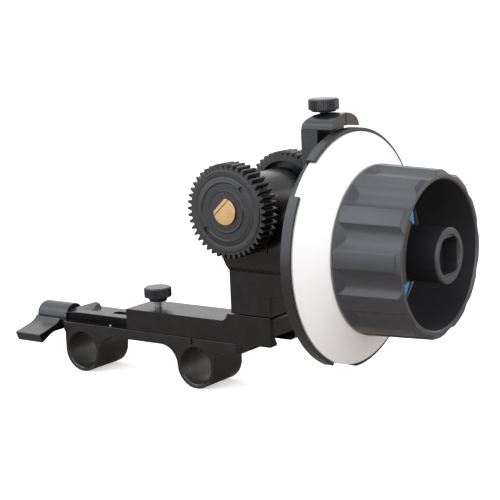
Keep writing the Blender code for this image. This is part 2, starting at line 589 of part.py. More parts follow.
def make_rod_clamp(builder):
    """The clamp: bar, two rod bosses, dovetail rail, keyway and rear nub, as one body."""
    half = CLAMP_LENGTH / 2
    mesh = builder.pushed("XZ", clamp_outline(), -half, half)
    ends = (-CLAMP_LEFT_REACH, CLAMP_RIGHT_REACH)

    def upright_end(a, b):
        at_end = any(abs(a.x - x) < MERGE and abs(b.x - x) < MERGE for x in ends)
        return at_end and abs(a.y - b.y) < MERGE and abs(a.z - b.z) > MERGE

    builder.chamfer_edges(mesh, upright_end, CLAMP_CORNER)
    clamp = builder.place("rod_clamp", mesh, (0, 0, 0), "black_anodised")
    low = BAR_TOP - NUB_SINK
    rail_outline = dovetail(RAIL_WIDTH / 2, RAIL_TOP, low, RAIL_LAND, 0)
    rail = builder.pushed("YZ", rail_outline, RAIL_END_INSET - CLAMP_LEFT_REACH,
                          CLAMP_RIGHT_REACH - RAIL_END_INSET)
    builder.join_mesh(clamp, "cut_rail_body", rail)
    lead = [(-CLAMP_LEFT_REACH - OVERRUN, RAIL_TOP - RAIL_LEAD_DROP * (1 + OVERRUN / RAIL_LEAD_LENGTH)),
            (-CLAMP_LEFT_REACH + RAIL_LEAD_LENGTH, RAIL_TOP),
            (-CLAMP_LEFT_REACH + RAIL_LEAD_LENGTH, RAIL_TOP + OVERRUN),
            (-CLAMP_LEFT_REACH - OVERRUN, RAIL_TOP + OVERRUN)]
    builder.cut_mesh(clamp, "cut_lead_in", builder.pushed("XZ", lead, -RAIL_WIDTH, RAIL_WIDTH))
    nub_right = -CLAMP_LEFT_REACH + NUB_LENGTH
    nub_top = RAIL_TOP + NUB_RISE
    nub_left = -CLAMP_LEFT_REACH + RAIL_END_INSET
    nub_outline = [(nub_left, low), (nub_left, RAIL_TOP - NUB_START_DROP)]
    nub_outline += arc((nub_right - NUB_ROUND, nub_top - NUB_ROUND), NUB_ROUND, NUB_SLOPE, 0, FILLET_STEPS)
    nub_outline += [(nub_right, low)]
    nub_back = RAIL_WIDTH / 2 - RAIL_UNDERCUT
    nub = builder.join_mesh(clamp, "cut_nub_body", builder.pushed("XZ", nub_outline, -nub_back, nub_back))
    slope = (NUB_RISE + RAIL_LEAD_DROP) / (2 * nub_back)
    wedge = [(-nub_back - OVERRUN, RAIL_TOP - RAIL_LEAD_DROP - slope * OVERRUN),
             (nub_back + OVERRUN, nub_top + slope * OVERRUN), (nub_back + OVERRUN, nub_top + 2 * OVERRUN),
             (-nub_back - OVERRUN, nub_top + 2 * OVERRUN)]
    builder.cut_mesh(nub, "cut_nub_slope",
                     builder.pushed("YZ", wedge, -CLAMP_LEFT_REACH - OVERRUN, nub_right + OVERRUN))
    keyway_left = -CLAMP_LEFT_REACH + KEYWAY_START
    keyway_half = KEYWAY_WIDTH / 2
    slot = arc((keyway_left + keyway_half, 0), keyway_half, math.pi * 1.5, math.pi / 2, FILLET_STEPS)
    slot += arc((keyway_left + KEYWAY_LENGTH - keyway_half, 0), keyway_half, math.pi / 2, -math.pi / 2,
                FILLET_STEPS)
    builder.cut_mesh(clamp, "cut_keyway",
                     builder.pushed("XY", slot, RAIL_TOP - KEYWAY_DEPTH, RAIL_TOP + OVERRUN))
    for side, x in (("left", -HALF_SPACING), ("right", HALF_SPACING)):
        bore = builder.turned("Y", (x, 0), [
            (0, half + OVERRUN), (BORE_RADIUS + BORE_CHAMFER + OVERRUN, half + OVERRUN),
            (BORE_RADIUS, half - BORE_CHAMFER), (BORE_RADIUS, BORE_CHAMFER - half),
            (BORE_RADIUS + BORE_CHAMFER + OVERRUN, -half - OVERRUN), (0, -half - OVERRUN)])
        builder.cut_mesh(clamp, "cut_bore_" + side, bore)
    notch_x = HALF_SPACING - NOTCH_OFFSET
    notch = builder.box((notch_x - NOTCH_WIDTH / 2, -half - OVERRUN, BAR_TOP - NOTCH_DEPTH),
                        (notch_x + NOTCH_WIDTH / 2, NOTCH_REACH - half, BAR_TOP + OVERRUN))
    builder.cut_mesh(clamp, "cut_notch", notch)
    stud_hole = builder.rod("X", (0, LEVER_AXIS_HEIGHT), STUD_DIAMETER / 2 + GAP,
                            -CLAMP_LEFT_REACH - OVERRUN, CLAMP_RIGHT_REACH + OVERRUN, SMALL_FACETS)
    builder.cut_mesh(clamp, "cut_stud_hole", stud_hole)
    nut_pocket = builder.rod("X", (0, LEVER_AXIS_HEIGHT), NUT_WIDTH / math.sqrt(3) + GAP,
                             CLAMP_RIGHT_REACH - NUT_THICKNESS - 2 * GAP, CLAMP_RIGHT_REACH + OVERRUN,
                             HEX_FACETS)
    builder.cut_mesh(clamp, "cut_nut_pocket", nut_pocket)
    pin_x, pin_y = stop_pin_place()
    pin_hole = builder.rod("Z", (pin_x, pin_y), STOP_PIN_DIAMETER / 2 + FINE_GAP,
                           BAR_TOP - STOP_PIN_DEPTH - GAP, BAR_TOP + OVERRUN, SMALL_FACETS)
    builder.cut_mesh(clamp, "cut_pin_hole", pin_hole)
    return clamp


def stop_pin_place():
    """Return where the stop pin stands on the clamp's front step."""
    return -CLAMP_LEFT_REACH + STOP_PIN_FROM_LEFT, -CLAMP_LENGTH / 2 + STOP_PIN_FROM_EDGE


def make_stop_pin(builder):
    """The bright pin that stops the bridge at the left."""
    x, y = stop_pin_place()
    radius = STOP_PIN_DIAMETER / 2
    top = BAR_TOP + STOP_PIN_REACH
    profile = [(0, top), (radius / 2, top), (radius, top - radius / 2), (radius, BAR_TOP - STOP_PIN_DEPTH),
               (0, BAR_TOP - STOP_PIN_DEPTH)]
    mesh = builder.turned("Z", (x, y), profile, SMALL_FACETS)
    return builder.place("rail_stop_pin", mesh, (x, y, BAR_TOP), "bright_steel")


def make_clamp_lever(builder):
    """The lever's knob and wing, the stud that it turns, and the nut at the far end."""
    right = -CLAMP_LEFT_REACH - LEVER_STANDOFF
    left = right - LEVER_KNOB_LENGTH
    axis_place = (right, 0, LEVER_AXIS_HEIGHT)
    empty = builder.joint_empty("lever_axis", axis_place)
    radius = LEVER_KNOB_DIAMETER / 2
    profile = [(0, right), (radius - KNOB_EDGE, right), (radius, right - KNOB_EDGE)]
    profile += [(r, s) for s, r in arc((left + LEVER_KNOB_ROUND, radius - LEVER_KNOB_ROUND),
                                       LEVER_KNOB_ROUND, math.pi / 2, math.pi, FILLET_STEPS)]
    profile += [(0, left)]
    knob = builder.turned("X", (0, LEVER_AXIS_HEIGHT), profile, MEDIUM_FACETS)
    lever = builder.place("clamp_lever", knob, axis_place, "black_anodised", empty)
    outline = [(-WING_REACH * reach, LEVER_AXIS_HEIGHT - WING_DROP * drop)
               for reach, drop in WING_TOP_SHARES + WING_BOTTOM_SHARES]
    wing = builder.pushed("YZ", outline, left + WING_EDGE, left + WING_WIDTH)
    builder.join_mesh(lever, "cut_wing_body", wing)
    stud_hole = builder.rod("X", (0, LEVER_AXIS_HEIGHT), STUD_DIAMETER / 2 + FINE_GAP,
                            left + LEVER_KNOB_LENGTH / 2, right + OVERRUN, SMALL_FACETS)
    builder.cut_mesh(lever, "cut_lever_hole", stud_hole)
    stud = builder.rod("X", (0, LEVER_AXIS_HEIGHT), STUD_DIAMETER / 2,
                       left + LEVER_KNOB_LENGTH / 2 + GAP, CLAMP_RIGHT_REACH - STUD_END_RECESS, SMALL_FACETS)
    builder.place("clamp_stud", stud, axis_place, "bright_steel", empty)
    nut_left = CLAMP_RIGHT_REACH - NUT_THICKNESS - GAP
    nut = builder.rod("X", (0, LEVER_AXIS_HEIGHT), NUT_WIDTH / math.sqrt(3), nut_left,
                      nut_left + NUT_THICKNESS, HEX_FACETS)
    nut_piece = builder.place("clamp_nut", nut, (nut_left, 0, LEVER_AXIS_HEIGHT), "black_steel")
    hole = builder.rod("X", (0, LEVER_AXIS_HEIGHT), STUD_DIAMETER / 2 + FINE_GAP, nut_left - OVERRUN,
                       nut_left + NUT_THICKNESS + OVERRUN, SMALL_FACETS)
    builder.cut_mesh(nut_piece, "cut_nut_hole", hole)


def make_bridge(builder):
    """The sliding bridge: a deck with a raised pad over a dovetail channel."""
    pad_left = BRIDGE_RIGHT - PAD_LENGTH
    outline = [(BRIDGE_LEFT, SKIRT_BOTTOM), (BRIDGE_RIGHT, SKIRT_BOTTOM), (BRIDGE_RIGHT, PAD_TOP),
               (pad_left, PAD_TOP)]
    outline += arc((pad_left - PAD_RISE, PAD_TOP), PAD_RISE, 0, -math.pi / 2, FILLET_STEPS)[1:]
    outline += [(BRIDGE_LEFT, DECK_TOP)]
    half = BRIDGE_WIDTH / 2
    mesh = builder.pushed("XZ", outline, -half, half)

    def right_end(a, b):
        return abs(a.x - BRIDGE_RIGHT) < MERGE and abs(b.x - BRIDGE_RIGHT) < MERGE

    builder.chamfer_edges(mesh, right_end, BRIDGE_END_CHAMFER)
    bridge = builder.place("bridge", mesh, (BRIDGE_LEFT, 0, BAR_TOP), "black_anodised")
    builder.bevel(bridge, BRIDGE_EDGE, 1, math.radians(50))
    ceiling = RAIL_TOP + GAP
    channel = dovetail(RAIL_WIDTH / 2, ceiling, SKIRT_BOTTOM - OVERRUN, RAIL_LAND + GAP, GAP)
    builder.cut_mesh(bridge, "cut_channel",
                     builder.pushed("YZ", channel, BRIDGE_LEFT - OVERRUN, BRIDGE_RIGHT + OVERRUN))
    stem_hole = builder.rod("Z", (SCREW_X, 0), SCREW_STEM_DIAMETER / 2 + FINE_GAP, ceiling - OVERRUN,
                            DECK_TOP + OVERRUN, SMALL_FACETS)
    builder.cut_mesh(bridge, "cut_stem_hole", stem_hole)
    for side, x in neck_screw_places():
        seat = ceiling + NECK_SCREW_HEAD_HEIGHT + GAP
        hole = builder.turned("Z", (x, 0), [
            (0, PAD_TOP + OVERRUN), (NECK_SCREW_DIAMETER / 2 + FINE_GAP, PAD_TOP + OVERRUN),
            (NECK_SCREW_DIAMETER / 2 + FINE_GAP, seat + FINE_GAP),
            (NECK_SCREW_HEAD / 2 + FINE_GAP, seat + FINE_GAP),
            (NECK_SCREW_HEAD / 2 + FINE_GAP, ceiling - OVERRUN), (0, ceiling - OVERRUN)], SMALL_FACETS)
        builder.cut_mesh(bridge, "cut_neck_screw_" + side, hole)
    return bridge


def neck_screw_places():
    """Return the name and X place of each screw that holds the gearbox down."""
    return (("left", NECK_MIDDLE - NECK_SCREW_SPREAD / 2), ("right", NECK_MIDDLE + NECK_SCREW_SPREAD / 2))


def make_neck_screws(builder):
    """Two cap screws up through the bridge's pad into the gearbox's foot."""
    ceiling = RAIL_TOP + GAP
    for side, x in neck_screw_places():
        seat = ceiling + NECK_SCREW_HEAD_HEIGHT + GAP
        profile = [(0, seat + NECK_SCREW_GRIP), (NECK_SCREW_DIAMETER / 2, seat + NECK_SCREW_GRIP),
                   (NECK_SCREW_DIAMETER / 2, seat), (NECK_SCREW_HEAD / 2, seat),
                   (NECK_SCREW_HEAD / 2, seat - NECK_SCREW_HEAD_HEIGHT), (0, seat - NECK_SCREW_HEAD_HEIGHT)]
        mesh = builder.turned("Z", (x, 0), profile, SMALL_FACETS)
        builder.place("neck_screw_" + side, mesh, (x, 0, seat), "bright_steel")


def thumbscrew_profile(top, head, head_height, edge, cone_top, cone_bottom, cone_height, stem, bottom):
    """Return a thumbscrew's profile from the top down: head, short cone and stem."""
    under = top - head_height
    foot = under - cone_height
    return [(0, top), (head / 2 - edge, top), (head / 2, top - edge), (head / 2, under + edge / 2),
            (head / 2 - edge / 2, under), (cone_top / 2, under), (cone_bottom / 2, foot), (stem / 2, foot),
            (stem / 2, bottom), (0, bottom)]


def make_bridge_screw(builder):
    """The thumbscrew that locks the bridge on its rail."""
    top = DECK_TOP + SCREW_STANDOFF + SCREW_CONE_HEIGHT + SCREW_HEAD_HEIGHT
    bottom = RAIL_TOP - KEYWAY_DEPTH + 2 * GAP
    profile = thumbscrew_profile(top, SCREW_HEAD_DIAMETER, SCREW_HEAD_HEIGHT, SCREW_HEAD_EDGE, SCREW_CONE_TOP,
                                 SCREW_CONE_BOTTOM, SCREW_CONE_HEIGHT, SCREW_STEM_DIAMETER, bottom)
    empty = builder.joint_empty("bridge_screw_axis", (SCREW_X, 0, DECK_TOP))
    mesh = builder.turned("Z", (SCREW_X, 0), profile, MEDIUM_FACETS)
    builder.place("bridge_screw", mesh, (SCREW_X, 0, DECK_TOP), "black_anodised", empty)


def make_gearbox(builder):
    """The gearbox: foot, body, handwheel barrel, drive head and spigot, as one body."""
    half = BRIDGE_WIDTH / 2
    shoulder = NECK_BOTTOM + NECK_HEIGHT
    outline = [(NECK_LEFT, NECK_BOTTOM), (NECK_LEFT + NECK_LENGTH, NECK_BOTTOM),
               (NECK_LEFT + NECK_LENGTH, shoulder), (NECK_LEFT + BODY_LENGTH, shoulder),
               (NECK_LEFT + BODY_LENGTH, WHEEL_AXIS_HEIGHT + OVERRUN),
               (NECK_LEFT + GAP, WHEEL_AXIS_HEIGHT + OVERRUN), (NECK_LEFT, WHEEL_AXIS_HEIGHT)]
    mesh = builder.pushed("XZ", outline, -half, half)
    gearbox = builder.place("gearbox", mesh, (DRIVE_X, 0, NECK_BOTTOM), "black_anodised")
    builder.bevel(gearbox, GEARBOX_EDGE, 1, math.radians(50))
    barrel = builder.turned("X", (0, WHEEL_AXIS_HEIGHT), [
        (0, SPIGOT_RIGHT), (SPIGOT_RADIUS, SPIGOT_RIGHT), (SPIGOT_RADIUS, BARREL_RIGHT),
        (BARREL_RADIUS, BARREL_RIGHT), (BARREL_RADIUS, NECK_LEFT + GEARBOX_EDGE),
        (BARREL_RADIUS - GEARBOX_EDGE, NECK_LEFT), (0, NECK_LEFT)])
    builder.join_mesh(gearbox, "cut_barrel_body", barrel)
    arch_bottom = WHEEL_AXIS_HEIGHT - HEAD_SKIRT
    arch = [(DRIVE_X - HEAD_RADIUS, arch_bottom), (DRIVE_X + HEAD_RADIUS, arch_bottom)]
    arch += arc((DRIVE_X, DRIVE_Z), HEAD_RADIUS, 0, math.pi, 3 * FILLET_STEPS)
    builder.join_mesh(gearbox, "cut_head_body", builder.pushed("XZ", arch, -HEAD_END, HEAD_END))
    wheel_bore = builder.rod("X", (0, WHEEL_AXIS_HEIGHT), WHEEL_BUSH_DIAMETER / 2 + FINE_GAP,
                             NECK_LEFT + WHEEL_BORE_WALL, SPIGOT_RIGHT + OVERRUN, MEDIUM_FACETS)
    builder.cut_mesh(gearbox, "cut_wheel_bore", wheel_bore)
    drive_bore = builder.rod("Y", (DRIVE_X, DRIVE_Z), DRIVE_BUSH_DIAMETER / 2 + FINE_GAP,
                             -HEAD_END - OVERRUN, HEAD_END + OVERRUN, MEDIUM_FACETS)
    builder.cut_mesh(gearbox, "cut_drive_bore", drive_bore)
    for side, x in neck_screw_places():
        seat = RAIL_TOP + GAP + NECK_SCREW_HEAD_HEIGHT + GAP
        hole = builder.rod("Z", (x, 0), NECK_SCREW_DIAMETER / 2 + FINE_GAP, NECK_BOTTOM - OVERRUN,
                           seat + NECK_SCREW_GRIP + GAP, SMALL_FACETS)
        builder.cut_mesh(gearbox, "cut_foot_screw_" + side, hole)
    for number, (y, z) in enumerate(arm_screw_places(), 1):
        hole = builder.rod("X", (y, z), ARM_SCREW_DIAMETER / 2 + FINE_GAP,
                           BARREL_RIGHT - ARM_SCREW_GRIP - GAP, BARREL_RIGHT + OVERRUN, SMALL_FACETS)
        builder.cut_mesh(gearbox, "cut_barrel_screw_%d" % number, hole)
    return gearbox


def make_bushes(builder):
    """Four plain bushes, two for each shaft."""
    outer = WHEEL_BUSH_DIAMETER / 2
    inner = WHEEL_SHAFT_DIAMETER / 2 + RUNNING
    for name, start in (("wheel_bush_inner", NECK_LEFT + WHEEL_BORE_WALL + GAP),
                        ("wheel_bush_outer", SPIGOT_RIGHT - WHEEL_BUSH_LENGTH)):
        end = start + WHEEL_BUSH_LENGTH
        profile = [(outer, end), (outer, start), (inner, start), (inner, end)]
        mesh = builder.turned("X", (0, WHEEL_AXIS_HEIGHT), profile, MEDIUM_FACETS)
        builder.place(name, mesh, (start, 0, WHEEL_AXIS_HEIGHT), "sintered_bronze")
    outer = DRIVE_BUSH_DIAMETER / 2
    inner = DRIVE_SHAFT_DIAMETER / 2 + RUNNING
    for name, end in (("drive_bush_front", -HEAD_END + DRIVE_BUSH_LENGTH), ("drive_bush_rear", HEAD_END)):
        start = end - DRIVE_BUSH_LENGTH
        profile = [(outer, end), (outer, start), (inner, start), (inner, end)]
        mesh = builder.turned("Y", (DRIVE_X, DRIVE_Z), profile, MEDIUM_FACETS)
        builder.place(name, mesh, (DRIVE_X, start, DRIVE_Z), "sintered_bronze")


def gear_outline():
    """Return the toothed outline about the origin: root, flank and tip points of each tooth."""
    root = GEAR_PITCH_RADIUS - GEAR_MODULE * DEDENDUM_SHARE
    tip = GEAR_PITCH_RADIUS + GEAR_MODULE
    pitch = math.tau / GEAR_TEETH
    points = []
    for i in range(GEAR_TEETH):
        middle = GEAR_PHASE + i * pitch
        for radius, share in ((root, -TOOTH_ROOT_SHARE), (GEAR_PITCH_RADIUS, -TOOTH_PITCH_SHARE),
                              (tip, -TOOTH_TIP_SHARE), (tip, TOOTH_TIP_SHARE),
                              (GEAR_PITCH_RADIUS, TOOTH_PITCH_SHARE), (root, TOOTH_ROOT_SHARE)):
            angle = middle + share * pitch / 2
            points.append((radius * math.cos(angle), radius * math.sin(angle)))
    return points


def make_gear(builder, name, side, empty):
    """One drive gear. Side is -1 for the front gear and +1 for the rear one."""
    outline = [(DRIVE_X + x, DRIVE_Z + z) for x, z in gear_outline()]
    faces = sorted((side * GEAR_INNER_FACE, side * (GEAR_OUTER_FACE - GEAR_FACE_RISE)))
    mesh = builder.pushed("XZ", outline, faces[0], faces[1])
    gear = builder.place(name, mesh, (DRIVE_X, side * GEAR_INNER_FACE, DRIVE_Z), "black_anodised", empty)
    profile = [(0, GEAR_OUTER_FACE), (GEAR_FACE_RADIUS - GEAR_FACE_RISE, GEAR_OUTER_FACE),
               (GEAR_FACE_RADIUS, GEAR_OUTER_FACE - GEAR_FACE_RISE),
               (GEAR_FACE_RADIUS, GEAR_OUTER_FACE - OVERRUN), (0, GEAR_OUTER_FACE - OVERRUN)]
    raised = builder.turned("Y", (DRIVE_X, DRIVE_Z), [(r, side * s) for r, s in profile][::side], FACETS)
    builder.join_mesh(gear, "cut_face_body_" + name, raised)

    def ring(label, inner, outer, start, end):
        low, high = sorted((side * start, side * end))
        profile = [(outer, high), (outer, low), (inner, low), (inner, high)]
        builder.cut_mesh(gear, label, builder.turned("Y", (DRIVE_X, DRIVE_Z), profile, FACETS))

    ring("cut_cup_" + name, GEAR_HUB_RADIUS, GEAR_CUP_RADIUS, GEAR_INNER_FACE - OVERRUN,
         GEAR_INNER_FACE + GEAR_CUP_DEPTH)
    ring("cut_groove_" + name, GEAR_GROOVE_INNER, GEAR_GROOVE_OUTER, GEAR_OUTER_FACE - GEAR_GROOVE_DEPTH,
         GEAR_OUTER_FACE + OVERRUN)
    low, high = sorted((side * (GEAR_INNER_FACE - OVERRUN), side * (GEAR_OUTER_FACE + OVERRUN)))
    bore = builder.rod("Y", (DRIVE_X, DRIVE_Z), DRIVE_SHAFT_DIAMETER / 2 + FINE_GAP, low, high, MEDIUM_FACETS)
    builder.cut_mesh(gear, "cut_bore_" + name, bore)
    for number, angle in enumerate(GEAR_PIN_ANGLES, 1):
        place = (DRIVE_X + GEAR_PIN_CIRCLE * math.cos(angle), DRIVE_Z + GEAR_PIN_CIRCLE * math.sin(angle))
        low, high = sorted((side * (GEAR_OUTER_FACE - GEAR_PIN_DEPTH), side * (GEAR_OUTER_FACE + OVERRUN)))
        hole = builder.rod("Y", place, GEAR_PIN_RADIUS, low, high, SMALL_FACETS)
        builder.cut_mesh(gear, "cut_pin_%d_%s" % (number, name), hole)


def make_gear_screw(builder, name, side, empty):
    """The slotted brass screw that holds a gear on the drive shaft."""
    inner = GEAR_OUTER_FACE + FINE_GAP
    outer = inner + GEAR_SCREW_HEAD_HEIGHT
    shank = GEAR_SCREW_SHANK_DIAMETER / 2
    profile = [(0, outer), (GEAR_SCREW_HEAD_RADIUS, outer), (GEAR_SCREW_HEAD_RADIUS, inner), (shank, inner),
               (shank, inner - GEAR_SCREW_GRIP), (0, inner - GEAR_SCREW_GRIP)]
    mesh = builder.turned("Y", (DRIVE_X, DRIVE_Z), [(r, side * s) for r, s in profile][::side], MEDIUM_FACETS)
    screw = builder.place(name, mesh, (DRIVE_X, side * inner, DRIVE_Z), "brass", empty)
    turn = Matrix.Rotation(-GEAR_SCREW_TURN, 4, "Y")
    flat = GEAR_SCREW_HEAD_RADIUS * GEAR_SCREW_FLAT_SHARE
    reach = GEAR_SCREW_HEAD_RADIUS + OVERRUN
    low, high = sorted((side * (inner - OVERRUN), side * (outer + OVERRUN)))
    edge = builder.box((flat, low, -reach), (reach, high, reach))
    slot_middle = GEAR_SCREW_HEAD_RADIUS * GEAR_SCREW_SLOT_SHARE
    low, high = sorted((side * (outer - GEAR_SCREW_SLOT_DEPTH), side * (outer + OVERRUN)))
    slot = builder.box((slot_middle - GEAR_SCREW_SLOT_WIDTH / 2, low, -reach),
                       (slot_middle + GEAR_SCREW_SLOT_WIDTH / 2, high, reach))
    for label, tool in (("cut_flat_", edge), ("cut_slot_", slot)):
        tool.transform(turn)
        tool.transform(Matrix.Translation((DRIVE_X, 0, DRIVE_Z)))
        builder.cut_mesh(screw, label + name, tool)


def make_drive(builder):
    """The drive shaft with a gear and a brass screw at each end."""
    empty = builder.joint_empty("drive_axis", (DRIVE_X, 0, DRIVE_Z))
    end = GEAR_OUTER_FACE - FINE_GAP
    radius = DRIVE_SHAFT_DIAMETER / 2
    hole = GEAR_SCREW_SHANK_DIAMETER / 2 + FINE_GAP
    bottom = end - GEAR_SCREW_GRIP - GAP
    profile = [(0, bottom), (hole, bottom), (hole, end), (radius, end), (radius, -end), (hole, -end),
               (hole, -bottom), (0, -bottom)]
    mesh = builder.turned("Y", (DRIVE_X, DRIVE_Z), profile, MEDIUM_FACETS)
    builder.place("drive_shaft", mesh, (DRIVE_X, 0, DRIVE_Z), "bright_steel", empty)
    for label, side in (("front", -1), ("rear", 1)):
        make_gear(builder, "drive_gear_" + label, side, empty)
        make_gear_screw(builder, "gear_screw_" + label, side, empty)


def arm_screw_places():
    """Return the Y and Z places of the screws through the arm's base."""
    return [(ARM_SCREW_CIRCLE * math.cos(angle), WHEEL_AXIS_HEIGHT + ARM_SCREW_CIRCLE * math.sin(angle))
            for angle in ARM_SCREW_ANGLES]


def make_index_arm(builder):
    """The index arm: a round base on the barrel, a post and a D-section saddle over the disc."""
    half = ARM_WIDTH / 2
    side = math.asin(half / ARM_BASE_RADIUS)
    base = arc((0, WHEEL_AXIS_HEIGHT), ARM_BASE_RADIUS, math.pi / 2 + side, math.tau + math.pi / 2 - side,
               6 * FILLET_STEPS)
    outline = base + [(half, SADDLE_BOTTOM), (-half, SADDLE_BOTTOM)]
    mesh = builder.pushed("YZ", outline, ARM_BACK, ARM_FRONT)
    arm = builder.place("index_arm", mesh, (ARM_BACK, 0, WHEEL_AXIS_HEIGHT), "black_anodised")
    dome = [(half * math.cos(math.pi * i / (3 * FILLET_STEPS)),
             SADDLE_BOTTOM + SADDLE_RISE * math.sin(math.pi * i / (3 * FILLET_STEPS)))
            for i in range(3 * FILLET_STEPS + 1)]
    dome += arc((0, WHEEL_AXIS_HEIGHT), SADDLE_UNDER_RADIUS, math.pi / 2 + SADDLE_HALF_ANGLE,
                math.pi / 2 - SADDLE_HALF_ANGLE, 2 * FILLET_STEPS)
    saddle = builder.pushed("YZ", dome, ARM_BACK + GAP, SADDLE_FRONT)
    builder.join_mesh(arm, "cut_saddle_body", saddle)
    corner = (ARM_BACK + SADDLE_BACK_ROUND, SADDLE_TOP - SADDLE_BACK_ROUND)
    beyond = OVERRUN + SADDLE_RISE
    round_off = [(ARM_BACK - beyond, SADDLE_TOP + beyond), (ARM_BACK - beyond, corner[1])]
    round_off += arc(corner, SADDLE_BACK_ROUND, math.pi, math.pi / 2, FILLET_STEPS)
    round_off += [(corner[0], SADDLE_TOP + beyond)]
    builder.cut_mesh(arm, "cut_saddle_back", builder.pushed("XZ", round_off, -ARM_WIDTH, ARM_WIDTH))
    spigot_hole = builder.rod("X", (0, WHEEL_AXIS_HEIGHT), SPIGOT_RADIUS + FINE_GAP, ARM_BACK - OVERRUN,
                              ARM_FRONT + OVERRUN)
    builder.cut_mesh(arm, "cut_spigot_hole", spigot_hole)
    line = builder.box((SADDLE_FRONT - INDEX_LINE_DEPTH, -INDEX_LINE_WIDTH / 2, SADDLE_UNDERSIDE - OVERRUN),
                       (SADDLE_FRONT + OVERRUN, INDEX_LINE_WIDTH / 2, SADDLE_TOP + OVERRUN))
    builder.cut_mesh(arm, "cut_index_line", line)
    stem_x = ARM_BACK + INDEX_SCREW_FROM_BACK
    stem = builder.rod("Z", (stem_x, 0), INDEX_STEM_DIAMETER / 2 + FINE_GAP,
                       SADDLE_TOP - INDEX_STEM_LENGTH - GAP, SADDLE_TOP + OVERRUN, SMALL_FACETS)
    builder.cut_mesh(arm, "cut_index_stem", stem)
    head_seat = ARM_FRONT - ARM_SCREW_HEAD_HEIGHT
    for number, (y, z) in enumerate(arm_screw_places(), 1):
        hole = builder.turned("X", (y, z), [
            (0, ARM_FRONT + OVERRUN), (ARM_SCREW_HEAD / 2 + FINE_GAP, ARM_FRONT + OVERRUN),
            (ARM_SCREW_HEAD / 2 + FINE_GAP, head_seat - GAP),
            (ARM_SCREW_DIAMETER / 2 + FINE_GAP, head_seat - GAP),
            (ARM_SCREW_DIAMETER / 2 + FINE_GAP, ARM_BACK - OVERRUN), (0, ARM_BACK - OVERRUN)], SMALL_FACETS)
        builder.cut_mesh(arm, "cut_arm_screw_%d" % number, hole)
        profile = [(0, ARM_FRONT - GAP), (ARM_SCREW_HEAD / 2, ARM_FRONT - GAP), (ARM_SCREW_HEAD / 2, head_seat),
                   (ARM_SCREW_DIAMETER / 2, head_seat), (ARM_SCREW_DIAMETER / 2, BARREL_RIGHT - ARM_SCREW_GRIP),
                   (0, BARREL_RIGHT - ARM_SCREW_GRIP)]
        screw = builder.turned("X", (y, z), profile, SMALL_FACETS)
        builder.place("arm_screw_%d" % number, screw, (ARM_BACK, y, z), "bright_steel")


def make_index_screw(builder):
    """The knurled thumbscrew on top of the index arm."""
    x = ARM_BACK + INDEX_SCREW_FROM_BACK
    top = SADDLE_TOP + GAP + INDEX_CONE_HEIGHT + INDEX_HEAD_HEIGHT
    profile = thumbscrew_profile(top, INDEX_HEAD_DIAMETER, INDEX_HEAD_HEIGHT, SCREW_HEAD_EDGE, INDEX_CONE_TOP,
                                 INDEX_CONE_BOTTOM, INDEX_CONE_HEIGHT, INDEX_STEM_DIAMETER,
                                 SADDLE_TOP - INDEX_STEM_LENGTH)
    empty = builder.joint_empty("index_screw_axis", (x, 0, SADDLE_TOP))
    mesh = builder.turned("Z", (x, 0), profile, MEDIUM_FACETS)
    builder.place("index_screw", mesh, (x, 0, SADDLE_TOP), "black_anodised", empty)


def swept(section, start, end, steps):
    """Return part of a turned ring between two angles about the wheel's axis, with flat ends."""
    bm = bmesh.new()
    face_verts = [bm.verts.new((station, radius * math.cos(start), radius * math.sin(start)))
                  for radius, station in section]
    bm.faces.new(face_verts)
    bmesh.ops.spin(bm, geom=bm.verts[:] + bm.edges[:] + bm.faces[:], cent=(0, 0, 0), axis=(1, 0, 0),
                   angle=end - start, steps=steps)
    bmesh.ops.recalc_face_normals(bm, faces=bm.faces)
    mesh = bpy.data.meshes.new("swept")
    bm.to_mesh(mesh)
    bm.free()
    mesh.transform(Matrix.Translation((0, 0, WHEEL_AXIS_HEIGHT)))
    return mesh


